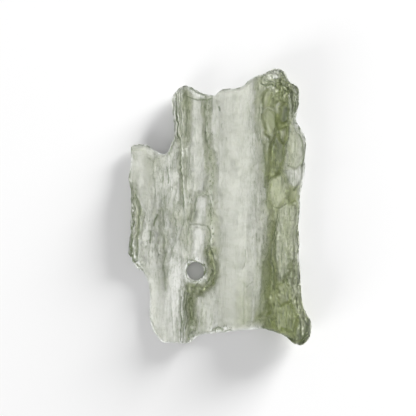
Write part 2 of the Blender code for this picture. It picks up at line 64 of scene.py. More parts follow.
# %% The outline, in millimetres, clockwise from the top left corner
OUTLINE = {
    "top of the slab": [(-13.30, 8.45), (-13.25, 9.20), (-12.80, 9.40), (-11.30, 9.40), (-10.50, 9.05)],
    "notch": [(-9.60, 8.40), (-8.85, 8.00), (-8.20, 7.95), (-7.70, 8.30), (-7.40, 8.90), (-7.15, 9.65)],
    "side of the block": [
        (-6.80, 10.50), (-6.70, 11.45), (-6.80, 13.00), (-7.00, 14.50), (-7.15, 15.80), (-6.95, 16.75),
    ],
    "left peak": [
        (-6.40, 17.40), (-5.80, 18.00), (-5.05, 18.30), (-4.40, 18.15), (-3.45, 17.65), (-2.40, 17.15),
        (-1.50, 16.98), (-0.65, 16.90),
    ],
    "saddle": [(-0.15, 17.30), (0.50, 17.75), (1.95, 17.90), (3.20, 18.05), (3.95, 18.50), (4.45, 19.10)],
    "right peak": [
        (5.15, 19.50), (6.40, 19.95), (7.35, 20.35), (8.10, 20.70), (8.70, 20.82), (9.30, 20.75),
        (9.90, 20.20), (10.30, 19.50),
    ],
    "shoulder": [
        (10.65, 18.85), (11.20, 18.45), (11.75, 17.95), (12.05, 17.25), (12.00, 16.40), (12.05, 15.50),
        (11.80, 14.55), (11.55, 13.55),
    ],
    "flake": [
        (11.60, 13.05), (12.05, 12.25), (12.55, 11.45), (12.90, 10.60), (13.10, 9.80), (13.05, 8.80),
        (12.95, 7.55), (12.85, 6.80), (13.00, 6.15), (12.85, 5.15), (12.75, 4.05), (12.45, 2.90),
    ],
    "right side": [
        (12.15, 1.55), (12.15, -0.20), (12.00, -2.15), (11.95, -3.95), (12.10, -5.70), (12.00, -7.55),
        (12.25, -9.65), (12.30, -11.60), (12.45, -13.90), (12.80, -15.45),
    ],
    "right toe": [
        (13.30, -16.40), (13.75, -17.20), (13.85, -18.15), (13.75, -19.25), (13.30, -20.05),
        (12.65, -20.65), (11.85, -20.80), (11.05, -20.50),
    ],
    "bottom": [
        (10.40, -19.85), (9.65, -19.40), (8.55, -19.00), (7.55, -18.65), (6.60, -18.40), (5.45, -18.60),
        (3.60, -18.75), (2.10, -18.90), (1.10, -19.10), (-0.90, -19.25), (-2.40, -19.40), (-3.30, -19.70),
    ],
    "left toe": [
        (-3.85, -20.20), (-4.45, -20.60), (-5.60, -20.80), (-7.05, -20.70), (-8.40, -20.65),
        (-8.90, -20.30), (-9.65, -19.40), (-10.15, -18.45), (-10.45, -17.20),
    ],
    "lower left side": [
        (-10.50, -15.40), (-10.45, -13.55), (-10.65, -11.90), (-11.05, -10.70), (-11.60, -9.80),
        (-12.25, -9.45), (-12.80, -8.85), (-13.30, -7.90),
    ],
    "side of the slab": [
        (-13.65, -6.95), (-13.55, -5.75), (-13.35, -3.80), (-13.30, -1.70), (-13.25, 0.20),
        (-13.30, 2.15), (-13.45, 3.30), (-13.65, 4.25), (-13.45, 5.40), (-13.30, 6.95),
    ],
}
HOLE_CENTRE = (-3.55, -9.80)
HOLE_RADIUS = 1.30
HOLE_STRETCH = (1.04, 1.07)  # it is a little longer along the stone than across it
HOLE_WANDER = 0.35  # share of the other features' straying that the rim of the hole follows
print(len(OUTLINE), "stretches of edge,", sum(len(part) for part in OUTLINE.values()), "points")

# %% [markdown]
# ## Ribs and furrows
#
# The molten glass was drawn out along the stone, so its ribs and furrows all run one way. Each is
# given as one line down the stone: where it lies across, and how thick the stone is there. The
# thickness matters more than the height, because it decides how dark the glass looks.

# %% The flow lines of the front: (y along the stone, x across it, thickness of the stone)
FLOW = {
    "left margin": [(20.8, -14.8, 1.0), (-20.8, -14.8, 1.0)],
    "slab edge": [
        (20.8, -13.1, 1.0), (7.0, -13.1, 1.0), (4.0, -13.1, 1.5), (1.5, -13.1, 3.2), (-0.5, -12.5, 2.6),
        (-3.5, -12.4, 2.5), (-5.5, -12.8, 1.6), (-10.0, -11.6, 1.3), (-14.0, -10.6, 1.0), (-20.8, -10.4, 1.0),
    ],
    "slab face": [
        (20.8, -11.6, 0.9), (7.0, -11.8, 0.9), (1.5, -11.9, 0.9), (-1.5, -11.2, 0.9), (-6.5, -11.4, 0.9),
        (-10.0, -10.4, 0.9), (-14.0, -9.6, 0.9), (-20.8, -9.4, 0.8),
    ],
    "slab rib": [
        (20.8, -9.2, 1.7), (8.0, -9.4, 1.8), (6.5, -9.6, 1.6), (4.0, -10.0, 1.3), (1.0, -10.2, 1.2),
        (-2.0, -9.4, 1.0), (-9.0, -9.4, 0.9), (-14.0, -8.6, 0.8), (-20.8, -8.4, 0.8),
    ],
    "slab furrow": [
        (20.8, -8.2, 1.1), (8.0, -8.2, 0.9), (4.0, -8.6, 0.9), (1.0, -8.8, 1.0), (-2.0, -7.9, 0.9),
        (-9.0, -7.4, 0.9), (-14.0, -7.2, 0.7), (-20.8, -7.1, 0.7),
    ],
    "block foot": [
        (20.8, -6.6, 1.1), (13.0, -6.6, 1.2), (10.5, -6.6, 1.4), (8.0, -6.2, 0.8), (4.0, -6.1, 0.9),
        (1.0, -6.2, 1.1), (-1.7, -6.2, 1.8), (-4.3, -6.2, 1.2), (-6.5, -6.1, 0.9), (-8.8, -6.1, 0.8),
        (-14.0, -6.2, 0.7), (-20.8, -6.2, 0.7),
    ],
    "block step": [
        (20.8, -5.7, 1.2), (16.0, -5.8, 1.2), (13.0, -6.1, 1.6), (10.0, -5.9, 1.9), (8.0, -5.6, 1.8),
        (4.0, -5.5, 2.2), (1.0, -5.5, 1.6), (-4.3, -5.4, 1.5), (-6.5, -5.3, 1.2), (-9.0, -5.5, 0.9),
        (-14.0, -5.4, 1.0), (-20.8, -5.4, 1.0),
    ],
    "block rib": [
        (20.8, -4.9, 2.0), (16.0, -4.9, 2.1), (13.0, -4.9, 1.6), (7.0, -4.8, 1.5), (4.0, -4.8, 1.5),
        (1.0, -4.6, 1.6), (-4.3, -4.7, 1.8), (-6.5, -4.6, 1.5), (-9.0, -4.6, 1.2), (-11.2, -4.5, 1.4),
        (-12.5, -4.2, 2.8), (-15.5, -4.2, 3.8), (-18.0, -4.1, 3.8), (-20.8, -4.1, 3.4),
    ],
    "left of the groove": [
        (20.8, -3.9, 1.2), (16.0, -3.9, 1.1), (10.0, -3.8, 1.1), (1.0, -3.7, 1.2), (-2.0, -3.8, 1.5),
        (-4.3, -3.7, 1.0), (-8.8, -3.9, 1.0), (-11.0, -3.8, 1.4), (-12.5, -3.5, 1.8), (-14.0, -3.1, 1.1),
        (-20.8, -3.1, 1.2),
    ],
    "right of the groove": [
        (20.8, -2.8, 1.1), (16.0, -2.8, 1.1), (13.0, -2.6, 1.0), (7.0, -2.4, 1.1), (4.0, -2.3, 0.9),
        (1.0, -2.4, 1.0), (-2.0, -2.2, 1.1), (-4.3, -2.3, 1.1), (-8.8, -2.3, 1.3), (-11.0, -2.5, 1.7),
        (-12.5, -2.4, 2.0), (-14.0, -2.4, 1.1), (-17.0, -2.4, 1.4), (-20.8, -2.4, 1.3),
    ],
    "middle rib": [
        (20.8, -1.8, 2.0), (16.0, -1.9, 2.1), (13.0, -1.8, 2.0), (10.0, -1.8, 2.1), (8.0, -1.2, 2.2),
        (4.0, -1.0, 1.9), (1.0, -1.1, 1.8), (-1.3, -0.9, 2.1), (-4.3, -1.3, 2.0), (-8.8, -1.1, 2.0),
        (-10.5, -1.0, 1.9), (-12.2, -1.4, 1.5), (-13.5, -1.5, 1.1), (-20.8, -1.5, 1.2),
    ],
    "furrow side": [
        (20.8, -0.9, 1.1), (10.0, -0.9, 1.0), (7.0, 0.0, 0.9), (1.0, 0.1, 1.0), (-2.0, 0.5, 1.2),
        (-8.0, 0.8, 1.1), (-11.0, 0.7, 1.1), (-14.0, -0.3, 1.0), (-20.8, -0.3, 1.1),
    ],
    "main furrow": [
        (20.8, 2.2, 1.0), (-4.3, 2.2, 1.0), (-12.5, 2.2, 1.1), (-20.8, 2.2, 1.2),
    ],
    "low rib": [
        (20.8, 4.1, 1.3), (13.0, 4.1, 1.2), (-4.3, 4.1, 1.1), (-7.5, 4.0, 1.3), (-9.5, 4.0, 1.2),
        (-12.5, 3.9, 1.7), (-17.0, 4.1, 2.0), (-20.8, 4.2, 1.7),
    ],
    "side furrow": [
        (20.8, 5.2, 1.4), (16.0, 5.2, 1.2), (7.0, 5.2, 1.1), (-4.3, 5.2, 1.0), (-11.0, 5.2, 1.2),
        (-14.0, 5.2, 1.1), (-17.0, 5.2, 1.6), (-20.8, 5.2, 1.8),
    ],
    "slope foot": [
        (20.8, 6.1, 2.3), (16.0, 6.1, 2.0), (12.0, 6.2, 1.7), (8.5, 6.2, 1.4), (4.0, 6.2, 1.1),
        (1.0, 6.2, 1.0), (-0.5, 6.2, 1.3), (-3.5, 6.2, 1.2), (-8.0, 6.2, 1.2), (-12.5, 6.2, 1.2),
        (-14.0, 6.2, 1.6), (-15.5, 6.2, 1.9), (-17.0, 6.2, 3.2), (-20.8, 6.2, 3.2),
    ],
    "slope": [
        (20.8, 7.4, 2.6), (16.0, 7.4, 2.1), (13.0, 7.4, 1.7), (10.0, 7.4, 1.8), (8.5, 7.3, 2.2),
        (5.5, 7.3, 1.8), (2.5, 7.1, 1.1), (-0.5, 7.2, 1.7), (-2.0, 7.2, 1.5), (-6.5, 7.1, 1.8),
        (-8.0, 7.0, 2.1), (-9.5, 6.9, 2.1), (-12.5, 7.0, 2.4), (-15.5, 7.0, 2.5), (-17.0, 7.0, 4.2),
        (-20.8, 7.0, 4.4),
    ],
    "crest": [
        (20.8, 8.7, 2.8), (16.0, 8.6, 3.0), (14.5, 8.8, 2.6), (13.0, 8.9, 4.0), (11.5, 8.6, 3.3),
        (10.0, 8.7, 3.2), (8.5, 8.8, 5.0), (5.5, 8.6, 4.2), (4.0, 8.6, 3.2), (-2.0, 8.3, 3.4),
        (-3.5, 8.2, 4.0), (-6.5, 7.9, 3.8), (-9.5, 7.8, 4.6), (-12.5, 7.9, 4.0), (-15.5, 7.8, 4.0),
        (-17.0, 7.7, 4.7), (-20.8, 7.8, 4.5),
    ],
    "shoulder": [
        (20.8, 10.1, 4.4), (16.0, 10.1, 3.6), (13.0, 9.9, 4.8), (10.0, 10.0, 3.2), (8.5, 10.0, 1.9),
        (4.0, 10.0, 1.7), (-1.3, 9.6, 1.7), (-5.0, 9.4, 1.6), (-8.8, 9.6, 1.7), (-11.0, 9.8, 1.9),
        (-12.5, 10.0, 2.6), (-20.8, 10.4, 3.2),
    ],
    "right rim": [
        (20.8, 11.3, 3.6), (16.0, 11.3, 3.0), (13.0, 11.3, 1.5), (7.0, 11.6, 1.2), (4.0, 11.6, 1.3),
        (2.5, 11.0, 1.9), (1.0, 10.9, 2.7), (-2.0, 10.9, 2.8), (-8.8, 11.2, 2.5), (-12.5, 11.6, 2.8),
        (-15.5, 12.0, 3.2), (-20.8, 12.6, 3.2),
    ],
    "right margin": [(20.8, 15.2, 1.6), (10.0, 15.2, 1.4), (-10.0, 15.2, 2.0), (-20.8, 15.2, 2.6)],
}
print(len(FLOW), "flow lines in front")

# %% The flow lines of the back: (y, x, height), worn flat where a rib would reach below zero
BACK_FLOW = {
    "left margin": [(20.8, -14.6, 0.9), (-20.8, -14.6, 0.9)],
    "left foot": [
        (20.8, -11.9, 0.3), (8.5, -11.9, 0.2), (-2.0, -11.2, -0.3), (-8.8, -10.6, -0.3), (-20.8, -9.2, 0.2),
    ],
    "left hollow": [(20.8, -7.4, 0.9), (7.0, -8.0, 0.7), (-6.5, -7.6, 0.8), (-20.8, -6.5, 0.5)],
    "middle foot": [
        (20.8, -2.2, 0.3), (14.5, -2.0, -0.3), (1.0, -1.5, 0.2), (-12.5, -1.5, 0.1), (-17.4, -2.0, -0.3),
        (-20.8, -2.2, 0.3),
    ],
    "main hollow": [(20.8, 2.4, 0.8), (8.0, 3.2, 0.6), (-4.0, 2.6, 0.8), (-20.8, 2.6, 0.6)],
    "low rib": [(20.8, 5.2, 0.5), (4.0, 5.6, 0.4), (-20.8, 4.8, 0.5)],
    "right hollow": [(20.8, 6.8, 0.6), (0.0, 7.0, 0.7), (-20.8, 6.6, 0.6)],
    "right foot": [
        (20.8, 8.8, 0.4), (14.5, 9.0, -0.3), (2.5, 8.8, 0.3), (-14.0, 9.4, -0.3), (-20.8, 9.8, 0.3),
    ],
    "right margin": [(20.8, 15.2, 1.5), (-20.8, 15.2, 1.3)],
}
print(len(BACK_FLOW), "flow lines at the back")

# %% [markdown]
# Between two flow lines the thickness is interpolated, first along the lines and then across them.
# An ordinary smooth curve swings past its points and would put a false furrow beside every sharp rib.
# This one, a monotone cubic, never overshoots: a rib stays sharp and a flat bed stays flat.

# %% Interpolation along the flow lines and across them


def smooth_through(knots, values, at):
    """A smooth curve through the knots that never overshoots them. Knots run along the first axis."""
    step = np.diff(knots, axis=0)
    slope = np.diff(values, axis=0) / step
    before, after = slope[:-1], slope[1:]
    turning = before * after <= 0
    weight_a, weight_b = 2 * step[1:] + step[:-1], step[1:] + 2 * step[:-1]
    safe_before = np.where(turning, 1.0, before)
    safe_after = np.where(turning, 1.0, after)
    mean = (weight_a + weight_b) / (weight_a / safe_before + weight_b / safe_after)
    tangent = np.zeros_like(values)
    tangent[1:-1] = np.where(turning, 0.0, mean)

    index = np.clip((at >= knots).sum(axis=0) - 1, 0, len(knots) - 2)[None]
    left, right = (np.take_along_axis(knots, index + i, 0)[0] for i in (0, 1))
    low, high = (np.take_along_axis(values, index + i, 0)[0] for i in (0, 1))
    leaving, arriving = (np.take_along_axis(tangent, index + i, 0)[0] for i in (0, 1))
    span = right - left
    t = np.clip((at - left) / span, 0, 1)
    return (
        (1 + 2 * t) * (1 - t) ** 2 * low
        + t * (1 - t) ** 2 * span * leaving
        + t * t * (3 - 2 * t) * high
        + t * t * (t - 1) * span * arriving
    )


def flow_height(lines, x, y):
    """Height at each point of a face whose ribs and furrows are the given flow lines."""
    across, heights = [], []
    for line in lines.values():
        stations = np.array(sorted(line))
        along = np.repeat(stations[:, :1], len(x), axis=1)
        across.append(smooth_through(along, np.repeat(stations[:, 1:2], len(x), axis=1), y))
        heights.append(smooth_through(along, np.repeat(stations[:, 2:3], len(x), axis=1), y))
    return smooth_through(np.array(across), np.array(heights), x)


print("thickness at the middle:", flow_height(FLOW, np.array([0.0]), np.array([0.0])).round(2), "mm")

# %% [markdown]
# ## Welts, scoops and fractures
#
# Bubbles that burst and flakes that broke away left scoops with a crisp rim. A scoop is a bowl round
# a path, and the stone keeps whichever is lower, its own surface or the bowl. The slanting faces of
# the broken edge are the same thing with straight sides. A welt is the opposite, glass pushed up.

# %% Welts: path, thickness added on it, half width
WELTS = {
    "crescent round the hole": (
        [(-1.20, -6.80), (-1.00, -8.20), (-0.80, -9.80), (-1.00, -11.40), (-2.60, -12.60), (-4.20, -12.60)],
        2.20, 0.50,
    ),
    "slab streak": (
        [(-8.80, -0.60), (-8.60, -3.00), (-8.10, -5.50), (-8.00, -8.80), (-7.95, -11.50)], 0.60, 0.35,
    ),
    "edge of the bubble groove": ([(-4.00, -2.00), (-3.95, 0.20), (-3.20, 1.90), (-2.20, 1.90)], 0.60, 0.35),
}
print(len(WELTS), "welts")

# %% Scoops: path, thickness left there, how much more is left at the given distance, and the power
SCOOPS = {
    "upper bubble groove": ([(-2.65, 0.80), (-2.80, -2.20)], 0.95, 1.60, 1.10, 4),
    "lower bubble groove": ([(-3.00, -4.00), (-3.40, -9.20)], 0.85, 1.60, 1.35, 5),
    "lip of the hole": ([(-3.60, -9.85), (-3.50, -9.75)], 0.30, 1.60, 1.85, 2),
}
print(len(SCOOPS), "scoops")

# %% Fractures, in the same terms
FRACTURES = {
    "top of the slab": ([(-13.30, 9.30), (-11.30, 9.40), (-10.20, 8.80)], 0.70, 1.20, 1.0, 1),
    "notch": ([(-10.20, 8.80), (-9.00, 8.00), (-8.00, 8.00)], 0.70, 0.80, 1.0, 1),
    "left peak": ([(-7.00, 14.00), (-6.80, 17.00), (-5.10, 18.25)], 1.00, 2.20, 1.0, 1),
    "top edge": ([(-5.05, 18.25), (-2.40, 17.00), (-0.70, 16.80)], 0.90, 1.80, 1.0, 1),
    "saddle": ([(-0.20, 17.30), (3.20, 18.10), (4.50, 19.10)], 0.70, 0.80, 1.0, 1),
    "right peak": ([(4.50, 19.10), (7.40, 20.30), (9.30, 20.70)], 1.40, 2.60, 1.0, 1),
    "shoulder": ([(9.30, 20.70), (11.10, 18.40), (12.00, 16.50), (11.60, 13.50)], 1.80, 2.40, 1.0, 1),
    "right side": ([(12.30, 2.90), (11.70, -4.00), (12.10, -11.60)], 1.60, 2.80, 1.0, 1),
    "right toe": ([(13.60, -17.20), (13.60, -19.20), (11.80, -20.70)], 2.00, 2.60, 1.0, 1),
    "bottom": ([(5.00, -18.50), (1.10, -19.10), (-3.30, -19.70)], 0.70, 0.90, 1.0, 1),
    "foot of the crest": ([(10.80, -20.00), (8.50, -18.90), (5.60, -18.50)], 1.80, 3.20, 1.0, 1),
    "left toe": ([(-5.60, -20.80), (-8.40, -20.70), (-10.40, -17.50)], 0.60, 0.90, 1.0, 1),
    "chipped edge": ([(-13.6, 3.5), (-13.4, -4.0), (-13.5, -7.5), (-11.0, -10.8)], 0.80, 1.60, 1.0, 1),
}
print(len(FRACTURES), "fractures")

# %% [markdown]
# The ribs themselves carry finer ribs, some only a quarter of a millimetre wide. They are welts too,
# but the frame's plain solid is too coarse to hold them, so they are only made here.

# %% Fine ribs, in the terms of the welts
FINE_RIBS = {
    "block ridge 1": ([(-6.75, 16.6), (-6.45, 12.5), (-6.35, 10.6)], 0.60, 0.13),
    "block ridge 2": ([(-6.35, 16.9), (-6.05, 12.5), (-6.00, 10.6)], 0.70, 0.13),
    "block ridge 3": ([(-5.95, 17.2), (-5.70, 12.5), (-5.60, 10.2)], 0.70, 0.13),
    "block ridge 4": ([(-5.40, 17.4), (-5.30, 12.0), (-5.20, 9.0)], 0.25, 0.15),
    "dark rib": ([(-4.75, 17.2), (-4.70, 14.0), (-4.65, 10.0)], 0.55, 0.35),
    "slab streak 1": ([(-7.60, -3.6), (-8.10, -7.0), (-8.20, -9.5), (-7.90, -12.5)], 0.35, 0.22),
    "slab streak 2": ([(-8.60, 1.0), (-8.70, -3.0), (-9.10, -7.0)], 0.25, 0.20),
    "slab streak 3": ([(-9.60, 5.0), (-9.50, 1.0), (-9.60, -3.5)], 0.20, 0.18),
    "slab streak 4": ([(-7.70, 5.8), (-7.60, 3.6)], 0.25, 0.15),
    "toe ridge 1": ([(-5.75, -12.6), (-5.75, -20.5)], 0.35, 0.12),
    "toe ridge 2": ([(-5.35, -12.4), (-5.30, -20.5)], 0.40, 0.12),
    "toe ridge 3": ([(-4.95, -12.4), (-4.90, -20.4)], 0.40, 0.12),
}
print(len(FINE_RIBS), "fine ribs, the narrowest", 2 * min(rib[2] for rib in FINE_RIBS.values()), "mm wide")

# %% [markdown]
# ## Facets and creases
#
# Glass breaks in smooth, slightly tilted faces with sharp edges. Each is a polygon in which the
# thickness follows a plane. Between them run creases, narrow grooves that etching has opened along
# the flow and along old cracks. Each also says how dark a painted shade it gets in its groove.

# %% Facets: corners, thickness in the middle, its rise to the right and upwards, width of the edge
FACETS = {
    "slope facet": (
        [(6.45, 16.9), (7.2, 17.6), (7.8, 17), (7.65, 15.1), (6.75, 14.6)],
        3.1, 0.2, 0.2, 0.35,
    ),
    "olive facet": (
        [(7.8, 16.4), (8.55, 16.6), (9.15, 15.8), (8.55, 14.9), (7.8, 14.8)],
        3.0, 0.2, 0.3, 0.25,
    ),
    "long facet": (
        [(6.3, 14), (7.35, 14.6), (8.25, 14), (8.55, 11.8), (8.1, 10), (7.05, 10.7)],
        2.9, 0.25, 0.0, 0.35,
    ),
    "lower long facet": ([(6.6, 9.65), (7.5, 9.8), (7.95, 7.3), (7.2, 5.75)], 2.1, 0.3, 0.1, 0.25),
    "strip of the rim": ([(10.35, 17.45), (11.1, 17.2), (11.1, 13), (10.5, 12.65)], 2.2, 0.0, 0.0, 0.25),
    "peak facet": (
        [(7.65, 19.7), (8.55, 20.45), (9.3, 19.7), (9, 18.95), (7.95, 19.1)],
        1.6, 0.1, 0.2, 0.25,
    ),
    "broken shoulder": (
        [(9.45, 20.2), (10.05, 19.7), (10.65, 18.5), (10.5, 17.2), (9.75, 17.45), (9.3, 18.7)],
        3.8, 0.1, 0.3, 0.4,
    ),
    "grey facet": ([(8.4, 15.4), (9.3, 16), (9.9, 15.1), (9.45, 13.1), (8.7, 14)], 2.3, 0.1, -0.2, 0.4),
    "dark wedge": (
        [(9.15, 14.9), (10.35, 15.7), (10.35, 12.8), (9.3, 12.1), (9, 13.1)],
        4.9, 0.1, -0.1, 0.35,
    ),
    "light triangle": ([(9, 11.5), (10.1, 11.9), (9.3, 9.2)], 2.3, 0.0, 0.0, 0.25),
    "dark crescent": (
        [(10.2, 12.1), (10.6, 12.2), (10.6, 10.4), (9.75, 8.9), (9.45, 9.1)],
        4.6, 0.0, 0.0, 0.3,
    ),
    "crest face": (
        [(8.4, 11.6), (9, 9.8), (9.75, 8.9), (9.6, 7), (9, 5.3), (7.95, 4.4), (7.05, 3.05),
         (7.35, 5.75), (7.8, 8.5)],
        4.4, 0.0, 0.0, 0.5,
    ),
    "lens": (
        [(7.35, 2.3), (7.65, 3.7), (8.25, 4.4), (9.15, 4.8), (9.9, 4.4), (10.2, 3.4), (10.2, 1.7),
         (9.75, 0.4), (8.4, -0.2), (7.65, 0.8)],
        2.9, 0.0, 0.0, 0.8,
    ),
    "upper flake": (
        [(10.4, 12.5), (11.1, 12.4), (12, 11), (12.75, 9.5), (12.8, 7.9), (12.45, 6.5), (11.55, 5.75),
         (10.5, 6.1), (10.4, 9.2)],
        2.1, -0.05, 0.0, 0.3,
    ),
    "lower flake": (
        [(10.2, 5.75), (11.55, 5.7), (12.45, 6.2), (12.5, 4.7), (12, 3.2), (11.4, 2.8), (10.65, 3.5),
         (10.2, 4.6)],
        1.1, -0.05, 0.0, 0.3,
    ),
    "under the flake": (
        [(10.35, 3.05), (11.25, 2.5), (12.15, 3.05), (12.15, 1), (10.65, 0.65), (10.35, 1.7)],
        3.4, 0.1, 0.0, 0.5,
    ),
    "right face": (
        [(8.85, -0.2), (10.5, 0.4), (11.7, -0.2), (11.85, -5), (11.4, -7.7), (10.35, -8.3),
         (10.05, -10.3), (8.85, -11.6), (8.4, -8.3), (8.55, -4.25)],
        2.35, 0.0, 0.0, 0.6,
    ),
    "mottled face": (
        [(10.5, -8.5), (11.55, -8), (12, -9.2), (12.15, -13), (11.1, -13), (10.2, -10.6)],
        2.8, 0.0, 0.0, 1.0,
    ),
    "slanting face": (
        [(9, -12.1), (10.05, -10.7), (10.95, -13.1), (10.65, -14), (9.3, -14.3)],
        3.3, 0.1, 0.0, 0.7,
    ),
    "toe face": (
        [(8.55, -12.8), (9.15, -14.5), (10.65, -14.2), (11.55, -16.4), (11.25, -19.1), (9.75, -18.5),
         (8.55, -17.6)],
        4.0, 0.0, 0.0, 1.0,
    ),
    "foot of the crescent": (
        [(-4.65, -11.9), (-2.25, -12), (-2.85, -13.3), (-4.5, -13.1)],
        3.0, 0.0, 0.0, 0.5,
    ),
    "notch facet": ([(-11.1, 8.9), (-9.9, 8.9), (-9.6, 8), (-9.9, 7), (-10.65, 7.9)], 1.0, 0.0, 0.0, 0.2),
    "notch corner": ([(-9.75, 8.6), (-8.85, 8.3), (-8.7, 7.4), (-9.45, 7.1)], 2.6, 0.0, 0.0, 0.3),
    "top fracture": (
        [(-4.5, 17.9), (-3.45, 17.45), (-1.8, 16.9), (-1.95, 16.4), (-3.3, 16.4), (-4.35, 17.2)],
        1.1, 0.0, 0.0, 0.25,
    ),
    "slab lip": ([(-13.2, 9.2), (-11.25, 9.2), (-11.25, 8.8), (-13.05, 8.6)], 2.0, 0.0, 0.0, 0.3),
    "chipped wedge": (
        [(-13.35, 3.4), (-12.9, 3.4), (-12.6, 2.2), (-12.75, 0.8), (-13.2, 1)],
        3.2, 0.0, 0.0, 0.3,
    ),
}
print(len(FACETS), "facets")
